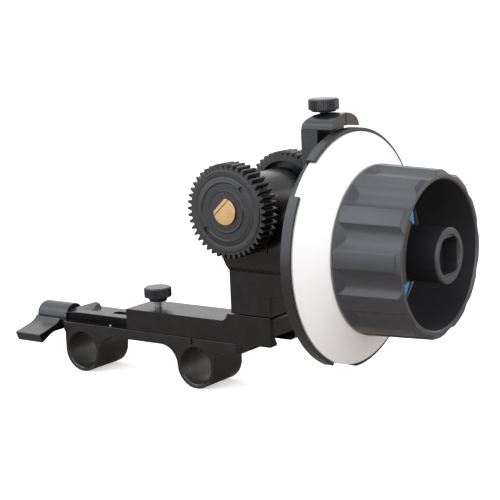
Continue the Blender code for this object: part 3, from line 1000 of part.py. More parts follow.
def make_disc(builder, empty):
    """The carrier on the shaft, the conical marking disc and the two arcs that retain it."""
    bore = WHEEL_SHAFT_DIAMETER / 2 + FINE_GAP
    boss_inner = CARRIER_BOSS_RADIUS - CARRIER_BOSS_WALL
    carrier_front = WHEEL_BACK - GAP
    profile = [(bore, carrier_front), (CARRIER_CORE_RADIUS, carrier_front), (CARRIER_CORE_RADIUS, PLATE_FRONT),
               (boss_inner, PLATE_FRONT), (boss_inner, carrier_front), (CARRIER_BOSS_RADIUS, carrier_front),
               (CARRIER_BOSS_RADIUS, PLATE_FRONT), (CARRIER_PLATE_RADIUS, PLATE_FRONT),
               (CARRIER_PLATE_RADIUS, PLATE_BACK), (CARRIER_HUB_RADIUS, PLATE_BACK),
               (CARRIER_HUB_RADIUS, CARRIER_BACK), (bore, CARRIER_BACK)]
    mesh = builder.turned("X", (0, WHEEL_AXIS_HEIGHT), profile)
    builder.place("disc_carrier", mesh, (CARRIER_BACK, 0, WHEEL_AXIS_HEIGHT), "black_anodised", empty)
    slope = math.hypot(DISC_CONE_RISE, DISC_RADIUS - DISC_TOP_RADIUS)
    inset = DISC_WALL * DISC_CONE_RISE / slope
    inner = CARRIER_BOSS_RADIUS + FINE_GAP
    profile = [(DISC_RADIUS, DISC_EDGE), (DISC_RADIUS, DISC_BACK), (DISC_RADIUS - DISC_WALL, DISC_BACK),
               (DISC_RADIUS - DISC_WALL, DISC_EDGE - inset), (DISC_TOP_RADIUS - inset, DISC_FRONT - DISC_WALL),
               (inner, DISC_FRONT - DISC_WALL), (inner, DISC_FRONT), (DISC_TOP_RADIUS, DISC_FRONT)]
    mesh = builder.turned("X", (0, WHEEL_AXIS_HEIGHT), profile, 2 * MEDIUM_FACETS)
    builder.place("marking_disc", mesh, (DISC_BACK, 0, WHEEL_AXIS_HEIGHT), "white_polymer", empty)
    band_inner = RETAINER_OUTER_RADIUS - RETAINER_BAND
    flange_inner = RETAINER_OUTER_RADIUS - RETAINER_FLANGE_REACH
    section = [(RETAINER_OUTER_RADIUS, RETAINER_BACK), (RETAINER_OUTER_RADIUS, RETAINER_BACK + RETAINER_WIDTH),
               (band_inner, RETAINER_BACK + RETAINER_WIDTH), (band_inner, RETAINER_BACK + RETAINER_FLANGE),
               (flange_inner, RETAINER_BACK + RETAINER_FLANGE), (flange_inner, RETAINER_BACK)]
    for name, start, end in (("disc_retainer_long", RETAINER_LONG_START, RETAINER_LONG_END),
                             ("disc_retainer_short", RETAINER_SHORT_START, RETAINER_SHORT_END)):
        steps = round((end - start) / RETAINER_STEP)
        mesh = swept(section, start, end, steps)
        builder.place(name, mesh, (RETAINER_BACK, 0, WHEEL_AXIS_HEIGHT), "black_anodised", empty)


def make_handwheel(builder, empty):
    """The fluted handwheel bell."""
    lip = WHEEL_LIP
    inner_lip = WHEEL_INNER_LIP
    profile = [(WHEEL_CENTRE_HOLE, WHEEL_BACK + WHEEL_FLOOR), (WHEEL_FLOOR_RADIUS, WHEEL_BACK + WHEEL_FLOOR),
               (WHEEL_BORE_RADIUS, WHEEL_FRONT - inner_lip), (WHEEL_BORE_RADIUS + inner_lip, WHEEL_FRONT),
               (WHEEL_FRONT_RADIUS - lip, WHEEL_FRONT), (WHEEL_FRONT_RADIUS - lip / 3, WHEEL_FRONT - lip / 3),
               (WHEEL_FRONT_RADIUS, WHEEL_FRONT - lip), (WHEEL_BASE_RADIUS, WHEEL_BACK + inner_lip),
               (WHEEL_BASE_RADIUS - inner_lip, WHEEL_BACK), (WHEEL_CENTRE_HOLE, WHEEL_BACK)]
    mesh = builder.turned("X", (0, WHEEL_AXIS_HEIGHT), profile, WHEEL_FACETS)
    wheel = builder.place("handwheel", mesh, (WHEEL_BACK, 0, WHEEL_AXIS_HEIGHT), "black_polymer", empty)
    left = WHEEL_BACK + FLUTE_END_MARGIN
    right = WHEEL_FRONT + OVERRUN
    slope = (WHEEL_BASE_RADIUS - WHEEL_FRONT_RADIUS) / WHEEL_LENGTH
    profile = [(0, right), (FLUTE_RADIUS, right), (FLUTE_RADIUS, left), (0, left)]
    reach = WHEEL_FRONT_RADIUS - FLUTE_DEPTH + FLUTE_RADIUS
    for i in range(FLUTE_COUNT):
        angle = FLUTE_PHASE + i * math.tau / FLUTE_COUNT
        flute = builder.turned("X", (0, 0), profile, FLUTE_FACETS)
        flute.transform(Matrix.Translation((-WHEEL_FRONT, 0, 0)))
        flute.transform(Matrix.Rotation(-math.atan(slope), 4, "Z"))
        flute.transform(Matrix.Translation((WHEEL_FRONT, reach, 0)))
        flute.transform(Matrix.Rotation(angle, 4, "X"))
        flute.transform(Matrix.Translation((0, 0, WHEEL_AXIS_HEIGHT)))
        builder.cut_mesh(wheel, "cut_flute_%02d" % (i + 1), flute)


def make_socket(builder, empty):
    """The crank socket on the shaft's end and the screw in its floor."""
    shaft_hole = WHEEL_SHAFT_DIAMETER / 2 + FINE_GAP
    profile = [(0, SOCKET_FRONT), (SOCKET_RADIUS - SOCKET_EDGE, SOCKET_FRONT),
               (SOCKET_RADIUS, SOCKET_FRONT - SOCKET_EDGE), (SOCKET_RADIUS, SOCKET_BACK), (0, SOCKET_BACK)]
    mesh = builder.turned("X", (0, WHEEL_AXIS_HEIGHT), profile)
    socket = builder.place("crank_socket", mesh, (SOCKET_BACK, 0, WHEEL_AXIS_HEIGHT), "black_anodised", empty)
    middle = SOCKET_HOLE_FLATS / 2 - SOCKET_HOLE_CORNER
    outline = []
    for quarter, (across, up) in enumerate(((1, 1), (-1, 1), (-1, -1), (1, -1))):
        start = quarter * math.pi / 2
        outline += arc((across * middle, WHEEL_AXIS_HEIGHT + up * middle), SOCKET_HOLE_CORNER,
                       start, start + math.pi / 2, FILLET_STEPS - 2)
    hole = builder.pushed("YZ", outline, SOCKET_FLOOR, SOCKET_FRONT + OVERRUN)
    builder.cut_mesh(socket, "cut_socket_hole", hole)
    bore = builder.turned("X", (0, WHEEL_AXIS_HEIGHT), [
        (0, SOCKET_FLOOR + OVERRUN), (SOCKET_SCREW_HEAD / 2 + FINE_GAP, SOCKET_FLOOR + OVERRUN),
        (SOCKET_SCREW_HEAD / 2 + FINE_GAP, SOCKET_SCREW_SEAT - GAP),
        (SOCKET_SCREW_DIAMETER / 2 + FINE_GAP, SOCKET_SCREW_SEAT - GAP),
        (SOCKET_SCREW_DIAMETER / 2 + FINE_GAP, SHAFT_RIGHT + GAP), (shaft_hole, SHAFT_RIGHT + GAP),
        (shaft_hole, SOCKET_BACK - OVERRUN), (0, SOCKET_BACK - OVERRUN)], MEDIUM_FACETS)
    builder.cut_mesh(socket, "cut_socket_bore", bore)
    head_top = SOCKET_SCREW_SEAT + SOCKET_SCREW_HEAD_HEIGHT
    profile = [(0, head_top), (SOCKET_SCREW_HEAD / 2, head_top), (SOCKET_SCREW_HEAD / 2, SOCKET_SCREW_SEAT),
               (SOCKET_SCREW_DIAMETER / 2, SOCKET_SCREW_SEAT),
               (SOCKET_SCREW_DIAMETER / 2, SOCKET_SCREW_SEAT - SOCKET_SCREW_GRIP),
               (0, SOCKET_SCREW_SEAT - SOCKET_SCREW_GRIP)]
    mesh = builder.turned("X", (0, WHEEL_AXIS_HEIGHT), profile, SMALL_FACETS)
    screw = builder.place("socket_screw", mesh, (SOCKET_SCREW_SEAT, 0, WHEEL_AXIS_HEIGHT), "bright_steel",
                          empty)
    key = builder.rod("X", (0, WHEEL_AXIS_HEIGHT), SOCKET_SCREW_KEY / math.sqrt(3),
                      head_top - SOCKET_SCREW_KEY_DEPTH, head_top + OVERRUN, HEX_FACETS)
    builder.cut_mesh(screw, "cut_screw_key", key)
    radius = WHEEL_SHAFT_DIAMETER / 2
    hole = SOCKET_SCREW_DIAMETER / 2 + FINE_GAP
    bottom = SOCKET_SCREW_SEAT - SOCKET_SCREW_GRIP - GAP
    profile = [(0, bottom), (hole, bottom), (hole, SHAFT_RIGHT), (radius, SHAFT_RIGHT), (radius, SHAFT_LEFT),
               (0, SHAFT_LEFT)]
    mesh = builder.turned("X", (0, WHEEL_AXIS_HEIGHT), profile, MEDIUM_FACETS)
    builder.place("wheel_shaft", mesh, (SHAFT_LEFT, 0, WHEEL_AXIS_HEIGHT), "bright_steel", empty)


def make_rim_inlay(builder, empty):
    """A grey pad inside the rim on the near side, with a tapered accent above and below it."""
    outer = WHEEL_BORE_RADIUS - GAP
    front = WHEEL_FRONT - WHEEL_INNER_LIP
    back = front - PAD_AXIAL
    centre = (0, WHEEL_AXIS_HEIGHT)
    start = PAD_MIDDLE - PAD_HALF_ANGLE
    end = PAD_MIDDLE + PAD_HALF_ANGLE
    outline = arc(centre, outer, start, end, PAD_STEPS) + arc(centre, outer - PAD_RADIAL, end, start, PAD_STEPS)
    mesh = builder.pushed("YZ", outline, back, front)
    builder.place("rim_pad", mesh, (back, 0, WHEEL_AXIS_HEIGHT), "grey_polymer", empty)
    for name, near, far in (("rim_accent_upper", start - ACCENT_GAP, start - ACCENT_ANGLE),
                            ("rim_accent_lower", end + ACCENT_GAP, end + ACCENT_ANGLE)):
        outline = arc(centre, outer, near, far, PAD_STEPS // 2)
        outline += arc(centre, outer - ACCENT_RADIAL, near, near + (far - near) * ACCENT_TOP_SHARE, 1)[::-1]
        mesh = builder.pushed("YZ", outline, back, front)
        builder.place(name, mesh, (back, 0, WHEEL_AXIS_HEIGHT), "blue_polymer", empty)


def main():
    """Build every piece."""
    clear_scene()
    builder = Builder()
    make_rod_clamp(builder)
    make_stop_pin(builder)
    make_clamp_lever(builder)
    make_bridge(builder)
    make_neck_screws(builder)
    make_bridge_screw(builder)
    make_gearbox(builder)
    make_bushes(builder)
    make_drive(builder)
    make_index_arm(builder)
    make_index_screw(builder)
    wheel_empty = builder.joint_empty("wheel_axis", (WHEEL_BACK, 0, WHEEL_AXIS_HEIGHT))
    make_disc(builder, wheel_empty)
    make_handwheel(builder, wheel_empty)
    make_socket(builder, wheel_empty)
    make_rim_inlay(builder, wheel_empty)


main()
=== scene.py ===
"""Looks of a lens follow focus for a pair of 15 mm camera rods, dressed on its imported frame.

Each sub-assembly is a class that holds its sizes, builds its meshes in the frame's own places and gives
them their finishes. Units are metres, +X runs from the clamp lever to the handwheel and +Z is up.
"""
from __future__ import annotations

import json
import logging
import math
from dataclasses import dataclass
from enum import Enum
from typing import Callable, Iterable, Sequence

import bmesh
import bpy
from mathutils import Matrix, Vector

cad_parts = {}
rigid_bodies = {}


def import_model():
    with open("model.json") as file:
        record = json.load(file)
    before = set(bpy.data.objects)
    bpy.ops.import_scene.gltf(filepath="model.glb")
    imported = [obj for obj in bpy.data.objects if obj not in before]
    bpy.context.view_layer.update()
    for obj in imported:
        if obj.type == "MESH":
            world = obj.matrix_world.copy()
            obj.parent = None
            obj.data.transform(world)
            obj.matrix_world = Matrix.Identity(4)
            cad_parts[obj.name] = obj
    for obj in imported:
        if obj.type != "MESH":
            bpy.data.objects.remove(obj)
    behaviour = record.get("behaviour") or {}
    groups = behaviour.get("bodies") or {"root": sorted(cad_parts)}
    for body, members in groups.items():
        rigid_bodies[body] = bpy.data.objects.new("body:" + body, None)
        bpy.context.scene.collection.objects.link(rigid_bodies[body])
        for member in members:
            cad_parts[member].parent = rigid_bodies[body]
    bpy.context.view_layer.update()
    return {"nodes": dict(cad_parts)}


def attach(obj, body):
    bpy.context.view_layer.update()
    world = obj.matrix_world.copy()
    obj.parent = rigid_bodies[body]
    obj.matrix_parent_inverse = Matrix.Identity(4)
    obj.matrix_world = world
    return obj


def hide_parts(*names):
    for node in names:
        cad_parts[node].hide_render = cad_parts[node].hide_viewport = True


LOG = logging.getLogger("lens_follow_focus")
MM = 0.001
FULL = math.tau
NEAR = 0.01 * MM              # two places this close are the same
FLAT = 1e-9                   # two stations this close lie in one plane
OVER = 1.0 * MM               # how far a cutter reaches past what it cuts
ROUND_STEPS = 16              # chords of a small round
BROAD_STEPS = 24              # chords of a broad round
HOLE_FACETS = 32
SMALL_HOLE_FACETS = 24
HEX_FACETS = 6

BLOTCH_SIZE = 22 * MM         # of the patches of lighter and darker tone
STREAK_SIZE = 4 * MM          # of the patches of rougher and smoother skin
NOISE_LOW = 0.3               # most of a noise texture's values lie between these two
NOISE_HIGH = 0.7
SOFT_BORDER = 0.2 * MM        # half the width of the border between two tones
BLOTCH_DETAIL = 4             # finer layers of each noise texture
STREAK_DETAIL = 3
RING_DETAIL = 3
BLASTED_DETAIL = 2
MOULDED_DETAIL = 4

Point = tuple[float, float]
Span = tuple[float, float]
Colour = tuple[float, float, float]
Section = list[Point]
Row = Sequence[Sequence[float]]
EdgeTest = Callable[[Vector, Vector], bool]


class Axis(Enum):
    """The axis that a turned piece or a drilled hole lies along."""

    X = ((0, 0, 1), (1, 0, 0), (0, 1, 0))
    Y = ((0, 1, 0), (0, 0, 1), (1, 0, 0))
    Z = ((1, 0, 0), (0, 1, 0), (0, 0, 1))

    def matrix(self) -> Matrix:
        """Return the turn that carries +Z onto this axis."""
        return Matrix(self.value).to_4x4()

    def offset(self, centre: Point) -> Vector:
        """Place an axis.

        Args:
            centre: The two coordinates across the axis.

        Returns:
            The point of the axis whose coordinate along it is zero.
        """
        first, second = centre
        places = {Axis.X: (0, first, second), Axis.Y: (first, 0, second), Axis.Z: (first, second, 0)}
        return Vector(places[self])


class Plane(Enum):
    """The plane that an outline is drawn in, before it is pushed out along the third axis."""

    XY = ((1, 0, 0), (0, 1, 0), (0, 0, 1))
    XZ = ((1, 0, 0), (0, 0, -1), (0, 1, 0))
    YZ = ((0, 0, 1), (1, 0, 0), (0, 1, 0))

    def matrix(self) -> Matrix:
        """Return the turn that carries the drawing onto this plane."""
        return Matrix(self.value).to_4x4()

    def along(self, start: float, end: float) -> Vector:
        """Return the shift of a drawing that is pushed out between two stations on the third axis."""
        shifts = {Plane.XY: (0, 0, start), Plane.XZ: (0, end, 0), Plane.YZ: (start, 0, 0)}
        return Vector(shifts[self])


class Body(Enum):
    """The moving bodies of the frame."""

    CLAMP = "clamp"
    LEVER = "lever"
    CARRIAGE = "carriage"
    BRIDGE_SCREW = "bridge_thumbscrew"
    INDEX_SCREW = "index_thumbscrew"
    WHEEL = "wheel"
    DRIVE = "drive"


class Grain(Enum):
    """How the surface of a finish is textured."""

    BLASTED = "blasted"
    MOULDED = "moulded"
    TURNED = "turned"
    SMOOTH = "smooth"


def arc(centre: Point, radius: float, start: float, end: float, steps: int) -> Section:
    """Draw a circular arc.

    Args:
        centre: Middle of the arc.
        radius: Its radius.
        start: First angle, in radians.
        end: Last angle, in radians.
        steps: Number of chords.

    Returns:
        The points, both ends included.
    """
    angles = [start + (end - start) * i / steps for i in range(steps + 1)]
    return [(centre[0] + radius * math.cos(a), centre[1] + radius * math.sin(a)) for a in angles]


def smooth(points: Sequence[Point], steps: int) -> Section:
    """Draw a smooth curve through points.

    Args:
        points: The points that the curve passes, in order.
        steps: Number of chords between each two.

    Returns:
        The curve's points, both ends included.
    """
    padded = [points[0], *points, points[-1]]
    curve = []
    for a, b, c, d in zip(padded, padded[1:], padded[2:], padded[3:]):
        for step in range(steps):
            t = step / steps
            curve.append(tuple(q + t * (r - p) / 2 + t * t * (p - 2.5 * q + 2 * r - s / 2)
                               + t * t * t * (1.5 * (q - r) + (s - p) / 2) for p, q, r, s in zip(a, b, c, d)))
    return curve + [tuple(points[-1])]


class Stock:
    """Makes raw meshes: turned, pushed out, boxes, swept and stretched over rings."""

    @staticmethod
    def _mesh(bm: bmesh.types.BMesh, matrix: Matrix) -> bpy.types.Mesh:
        """Turn an edit mesh into a mesh.

        Args:
            bm: The edit mesh, which is freed.
            matrix: Moves the mesh to its place.

        Returns:
            The mesh, with its faces outwards.
        """
        bmesh.ops.recalc_face_normals(bm, faces=bm.faces)
        mesh = bpy.data.meshes.new("stock")
        bm.to_mesh(mesh)
        bm.free()
        mesh.transform(matrix)
        return mesh

    @staticmethod
    def _bridge(bm: bmesh.types.BMesh, low: Sequence[bmesh.types.BMVert],
                high: Sequence[bmesh.types.BMVert]) -> None:
        """Join two rings with a band of faces.

        Args:
            bm: The edit mesh that both rings are in.
            low: The first ring.
            high: The second ring, with as many points.
        """
        for i in range(len(low)):
            j = (i + 1) % len(low)
            bm.faces.new((low[i], low[j], high[j], high[i]))

    @staticmethod
    def turned(axis: Axis, centre: Point, profile: Section, segments: int = 128) -> bpy.types.Mesh:
        """Turn a mesh on a lathe.

        Args:
            axis: Axis of the lathe.
            centre: The two coordinates that place the axis.
            profile: (radius, station) points, closed on the axis or as a loop.
            segments: Facets of the full circle.

        Returns:
            The closed mesh.
        """
        bm = bmesh.new()
        rings = []
        for radius, station in profile:
            if radius == 0:
                rings.append([bm.verts.new((0, 0, station))])
                continue
            rings.append([bm.verts.new((radius * math.cos(FULL * i / segments),
                                        radius * math.sin(FULL * i / segments), station))
                          for i in range(segments)])
        pairs = list(zip(rings, rings[1:]))
        if profile[0][0] > 0 or profile[-1][0] > 0:
            pairs.append((rings[-1], rings[0]))
        for low, high in pairs:
            if len(low) == 1 and len(high) == 1:
                continue
            if len(low) == 1 or len(high) == 1:
                ring = high if len(low) == 1 else low
                tip = low[0] if len(low) == 1 else high[0]
                if abs(ring[0].co.z - tip.co.z) < FLAT:
                    bm.faces.new(ring)
                    bm.verts.remove(tip)
                else:
                    for i in range(segments):
                        bm.faces.new((ring[i], ring[(i + 1) % segments], tip))
                continue
            Stock._bridge(bm, low, high)
        return Stock._mesh(bm, Matrix.Translation(axis.offset(centre)) @ axis.matrix())

    @staticmethod
    def rod(axis: Axis, centre: Point, radius: float, start: float, end: float,
            segments: int = 96) -> bpy.types.Mesh:
        """Return a plain cylinder between two stations of an axis."""
        return Stock.turned(axis, centre, [(0, end), (radius, end), (radius, start), (0, start)], segments)

    @staticmethod
    def pushed(plane: Plane, outline: Section, start: float, end: float, edge: float = 0, sharp: float = 38,
               corner: float = 0, picked: EdgeTest | None = None) -> bpy.types.Mesh:
        """Push an outline out along the third axis and ease its corners.

        Args:
            plane: Plane of the drawing.
            outline: Its points, in order.
            start: First station along the third axis.
            end: Last station.
            edge: Width of the eased corners, or zero for raw ones.
            sharp: Smallest angle between faces, in degrees, that is eased.
            corner: Width of the chamfer on picked edges.
            picked: Says whether an edge between two points of the frame gets that chamfer.

        Returns:
            The closed mesh.
        """
        bm = bmesh.new()
        face = bm.faces.new([bm.verts.new((x, y, 0)) for x, y in outline])
        made = bmesh.ops.extrude_face_region(bm, geom=[face])
        top = [item for item in made["geom"] if isinstance(item, bmesh.types.BMVert)]
        bmesh.ops.translate(bm, vec=(0, 0, end - start), verts=top)
        place = Matrix.Translation(plane.along(start, end)) @ plane.matrix()
        bmesh.ops.transform(bm, matrix=place, verts=bm.verts)
        bmesh.ops.recalc_face_normals(bm, faces=bm.faces)
        if picked:
            chosen = [e for e in bm.edges if picked(e.verts[0].co, e.verts[1].co)]
            bmesh.ops.bevel(bm, geom=chosen, offset=corner, offset_type="OFFSET", segments=1, profile=0.5,
                            affect="EDGES", clamp_overlap=True)
        if edge:
            corners = [e for e in bm.edges if e.calc_face_angle(0) > math.radians(sharp)]
            bmesh.ops.bevel(bm, geom=corners, offset=edge, offset_type="OFFSET", segments=2, profile=0.5,
                            affect="EDGES", clamp_overlap=True)
        return Stock._mesh(bm, Matrix.Identity(4))

    @staticmethod
    def box(low: Sequence[float], high: Sequence[float]) -> bpy.types.Mesh:
        """Return a box between two corners."""
        outline = [(low[0], low[1]), (high[0], low[1]), (high[0], high[1]), (low[0], high[1])]
        return Stock.pushed(Plane.XY, outline, low[2], high[2])

    @staticmethod
    def swept(section: Section, start: float, end: float, steps: int, height: float) -> bpy.types.Mesh:
        """Sweep a section round part of the handwheel's axis.

        Args:
            section: (radius, station) points of the cut end.
            start: First angle from +Y, in radians.
            end: Last angle.
            steps: Number of chords.
            height: Height of the axis.

        Returns:
            The closed mesh, flat at both ends.
        """
        rows = []
        for i in range(steps + 1):
            angle = start + (end - start) * i / steps
            rows.append([(s, r * math.cos(angle), r * math.sin(angle)) for r, s in section])
        return Stock.skin(rows, height, looped=False)

    @staticmethod
    def skin(rows: Sequence[Row], height: float, looped: bool = True) -> bpy.types.Mesh:
        """Stretch a mesh over rings of points.

        Args:
            rows: The rings, each with as many points.
            height: How far the mesh is raised.
            looped: Whether the last ring joins the first. If not, a face closes each of the two.

        Returns:
            The closed mesh.
        """
        bm = bmesh.new()
        rings = [[bm.verts.new(point) for point in row] for row in rows]
        following = rings[1:] + rings[:1] if looped else rings[1:]
        for low, high in zip(rings, following):
            Stock._bridge(bm, low, high)
        if not looped:
            bm.faces.new(rings[0])
            bm.faces.new(rings[-1][::-1])
        return Stock._mesh(bm, Matrix.Translation((0, 0, height)))


@dataclass(frozen=True)
class Finish:
    """A surface finish and the record's slot that it stands for.

    Colours are linear, and lengths are in metres. A distance is measured from centre in the coordinates
    that are 1 in across: from an axis where two of them are, and from a plane where one is. The turning marks
    follow it. Inside is such a distance and the factor that the colour has within it, which paints light or
    shade into the colour there.
    """

    name: str
    slot: str
    colour: Colour
    roughness: float
    metallic: float = 0.0
    ior: float = 1.45
    grain: Grain = Grain.BLASTED
    grain_size: float = 0.12 * MM
    grain_depth: float = 0.004 * MM
    tone_spread: float = 0.15
    rough_spread: float = 0.06
    centre: tuple[float, float, float] = (0, 0, 0)
    across: tuple[float, float, float] = (1, 1, 1)
    inside: tuple[float, float] | None = None

    def material(self) -> bpy.types.Material:
        """Return this finish's material, made on first use."""
        found = bpy.data.materials.get(self.name)
        return found if found else self._make()

    def _make(self) -> bpy.types.Material:
        """Build the node tree.

        Returns:
            The new material.
        """
        material = bpy.data.materials.new(self.name)
        material.use_nodes = True
        tree = material.node_tree
        shader = tree.nodes["Principled BSDF"]
        shader.inputs["Metallic"].default_value = self.metallic
        shader.inputs["IOR"].default_value = self.ior
        material.diffuse_color = (*self.colour, 1)
        sketch = NodeSketch(tree)
        place = sketch.add("ShaderNodeTexCoord").outputs["Object"]
        blotch = sketch.noise(place, 1 / BLOTCH_SIZE, BLOTCH_DETAIL)
        tone = sketch.spread(blotch, 1 - self.tone_spread, 1 + self.tone_spread)
        # Painted light or shade: the tone is scaled within a distance of centre, as in the socket's painted
        # rim highlight.
        if self.inside:
            away = sketch.distance(place, self.centre, self.across)
            tone = sketch.painted_light_within(tone, away, *self.inside)
        colour = sketch.add("ShaderNodeVectorMath", operation="SCALE")
        colour.inputs[0].default_value = self.colour
        sketch.join(tone, colour.inputs["Scale"])
        sketch.join(colour.outputs["Vector"], shader.inputs["Base Color"])
        streak = sketch.noise(place, 1 / STREAK_SIZE, STREAK_DETAIL)
        rough = sketch.spread(streak, self.roughness - self.rough_spread, self.roughness + self.rough_spread)
        sketch.join(rough, shader.inputs["Roughness"])
        if self.grain is Grain.SMOOTH:
            return material
        if self.grain is Grain.TURNED:
            height = sketch.rings(sketch.distance(place, self.centre, self.across), self.grain_size)
        else:
            detail = BLASTED_DETAIL if self.grain is Grain.BLASTED else MOULDED_DETAIL
            height = sketch.noise(place, 1 / self.grain_size, detail)
        bump = sketch.add("ShaderNodeBump")
        bump.inputs["Strength"].default_value = 1
        bump.inputs["Distance"].default_value = self.grain_depth
        sketch.join(height, bump.inputs["Height"])
        sketch.join(bump.outputs["Normal"], shader.inputs["Normal"])
        return material


class NodeSketch:
    """Adds and joins shader nodes in one tree."""

    def __init__(self, tree: bpy.types.NodeTree) -> None:
        """Keep the tree."""
        self.tree = tree

    def add(self, kind: str, **settings: object) -> bpy.types.Node:
        """Add a node.

        Args:
            kind: Its type.
            settings: Properties to set, by name.

        Returns:
            The new node.
        """
        node = self.tree.nodes.new(kind)
        for name, value in settings.items():
            setattr(node, name, value)
        return node

    def join(self, out: bpy.types.NodeSocket, into: bpy.types.NodeSocket) -> None:
        """Link two sockets."""
        self.tree.links.new(out, into)

    def noise(self, place: bpy.types.NodeSocket, scale: float, detail: float) -> bpy.types.NodeSocket:
        """Add a noise texture.

        Args:
            place: Point socket.
            scale: Features in a metre.
            detail: Number of finer layers.

        Returns:
            The value socket.
        """
        node = self.add("ShaderNodeTexNoise")
        node.inputs["Scale"].default_value = scale
        node.inputs["Detail"].default_value = detail
        self.join(place, node.inputs["Vector"])
        return node.outputs["Fac"]

    def spread(self, value: bpy.types.NodeSocket, low: float, high: float) -> bpy.types.NodeSocket:
        """Stretch a noise value between two numbers.

        Args:
            value: Noise socket.
            low: The least result.
            high: The greatest result.

        Returns:
            The stretched value's socket.
        """
        node = self.add("ShaderNodeMapRange")
        ends = {"From Min": NOISE_LOW, "From Max": NOISE_HIGH, "To Min": low, "To Max": high}
        for name, number in ends.items():
            node.inputs[name].default_value = number
        self.join(value, node.inputs["Value"])
        return node.outputs["Result"]

    def distance(self, place: bpy.types.NodeSocket, centre: Sequence[float],
                 across: Sequence[float]) -> bpy.types.NodeSocket:
        """Measure the distance from an axis or, with one coordinate that counts, from a plane.

        Args:
            place: Point socket, in the frame.
            centre: A point on the axis or plane.
            across: 1 for each coordinate that counts and 0 for the others.

        Returns:
            The distance socket.
        """
        shift = self.add("ShaderNodeVectorMath", operation="SUBTRACT")
        shift.inputs[1].default_value = centre
        self.join(place, shift.inputs[0])
        flat = self.add("ShaderNodeVectorMath", operation="MULTIPLY")
        flat.inputs[1].default_value = across
        self.join(shift.outputs["Vector"], flat.inputs[0])
        length = self.add("ShaderNodeVectorMath", operation="LENGTH")
        self.join(flat.outputs["Vector"], length.inputs[0])
        return length.outputs["Value"]

    def rings(self, distance: bpy.types.NodeSocket, pitch: float) -> bpy.types.NodeSocket:
        """Add turning marks.

        Args:
            distance: Distance socket, which the marks follow.
            pitch: How far apart they are.

        Returns:
            The socket of the marks' height.
        """
        node = self.add("ShaderNodeTexNoise", noise_dimensions="1D")
        node.inputs["Scale"].default_value = 1 / pitch
        node.inputs["Detail"].default_value = RING_DETAIL
        self.join(distance, node.inputs["W"])
        return node.outputs["Fac"]

    def painted_light_within(self, tone: bpy.types.NodeSocket, distance: bpy.types.NodeSocket, reach: float,
                      factor: float) -> bpy.types.NodeSocket:
        """Multiply a tone where a distance is small, to paint light or shade there.

        Args:
            tone: Tone socket.
            distance: Distance socket.
            reach: Distance within which the tone is multiplied, with a soft border.
            factor: What it is multiplied by there.

        Returns:
            The new tone's socket.
        """
        inside = self.add("ShaderNodeMapRange")
        ends = {"From Min": reach - SOFT_BORDER, "From Max": reach + SOFT_BORDER, "To Min": factor}
        for name, number in ends.items():
            inside.inputs[name].default_value = number
        self.join(distance, inside.inputs["Value"])
        product = self.add("ShaderNodeMath", operation="MULTIPLY")
        self.join(tone, product.inputs[0])
        self.join(inside.outputs["Result"], product.inputs[1])
        return product.outputs["Value"]


class Piece:
    """One visual piece from raw stock to its place in the frame."""

    def __init__(self, name: str, mesh: bpy.types.Mesh) -> None:
        """Start from a raw mesh.

        Args:
            name: Name of the visual piece.
            mesh: The mesh, in the frame's own place.
        """
        self.name = name
        self.obj = bpy.data.objects.new(name, mesh)
        bpy.context.scene.collection.objects.link(self.obj)
        self.tools: list[bpy.types.Object] = []

    def _boolean(self, operation: str, meshes: Iterable[bpy.types.Mesh]) -> Piece:
        """Add an exact boolean for each mesh.

        Args:
            operation: The boolean's name.
            meshes: What it is made with.

        Returns:
            This piece.
        """
        for mesh in meshes:
            tool = bpy.data.objects.new("tool", mesh)
            bpy.context.scene.collection.objects.link(tool)
            modifier = self.obj.modifiers.new(operation, "BOOLEAN")
            modifier.operation = operation
            modifier.solver = "EXACT"
            modifier.object = tool
            self.tools.append(tool)
        return self

    def cut(self, *meshes: bpy.types.Mesh) -> Piece:
        """Cut the piece with meshes."""
        return self._boolean("DIFFERENCE", meshes)

    def fuse(self, *meshes: bpy.types.Mesh) -> Piece:
        """Fuse meshes to the piece."""
        return self._boolean("UNION", meshes)

    def mesh(self) -> bpy.types.Mesh:
        """Finish the mesh as stock for another piece, and drop this one.

        Returns:
            The finished mesh.
        """
        self._bake()
        mesh = self.obj.data
        bpy.data.objects.remove(self.obj, do_unlink=True)
        return mesh

    def _bake(self) -> None:
        """Apply the modifiers and drop the tools."""
        graph = bpy.context.evaluated_depsgraph_get()
        mesh = bpy.data.meshes.new_from_object(self.obj.evaluated_get(graph))
        self.obj.modifiers.clear()
        old = self.obj.data
        self.obj.data = mesh
        bpy.data.meshes.remove(old)
        for tool in self.tools:
            data = tool.data
            bpy.data.objects.remove(tool, do_unlink=True)
            bpy.data.meshes.remove(data)
        self.tools = []

    def dress(self, finish: Finish, body: Body, *nodes: str, crease: float = 30) -> bpy.types.Object:
        """Bake the piece, give it its finish and let it ride on its body.

        Args:
            finish: Surface finish.
            body: Body of the frame that carries the piece.
            nodes: CAD nodes that the piece stands for.
            crease: Angle between faces, in degrees, that stays sharp.

        Returns:
            The finished object.
        """
        self._bake()
        mesh = self.obj.data
        mesh.name = self.name
        mesh.materials.clear()
        mesh.materials.append(finish.material())
        mesh.polygons.foreach_set("material_index", [0] * len(mesh.polygons))
        mesh.shade_smooth()
        mesh.set_sharp_from_angle(angle=math.radians(crease))
        weigh = self.obj.modifiers.new("Normals", "WEIGHTED_NORMAL")
        weigh.keep_sharp = True
        self._bake()
        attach(self.obj, body.value)
        if nodes:
            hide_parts(*nodes)
        LOG.info("%s on %s: %d faces", self.name, body.value, len(self.obj.data.polygons))
        return self.obj


# Places that several sub-assemblies share
WHEEL_AXIS = 51.45 * MM
DRIVE_X = 59.0 * MM
DRIVE_Z = 66.25 * MM
SOCKET_FRONT = 140.0 * MM
ARM_SCREWS: tuple[Point, ...] = ((0.0, 62.65 * MM), (-9.7 * MM, 45.85 * MM), (9.7 * MM, 45.85 * MM))

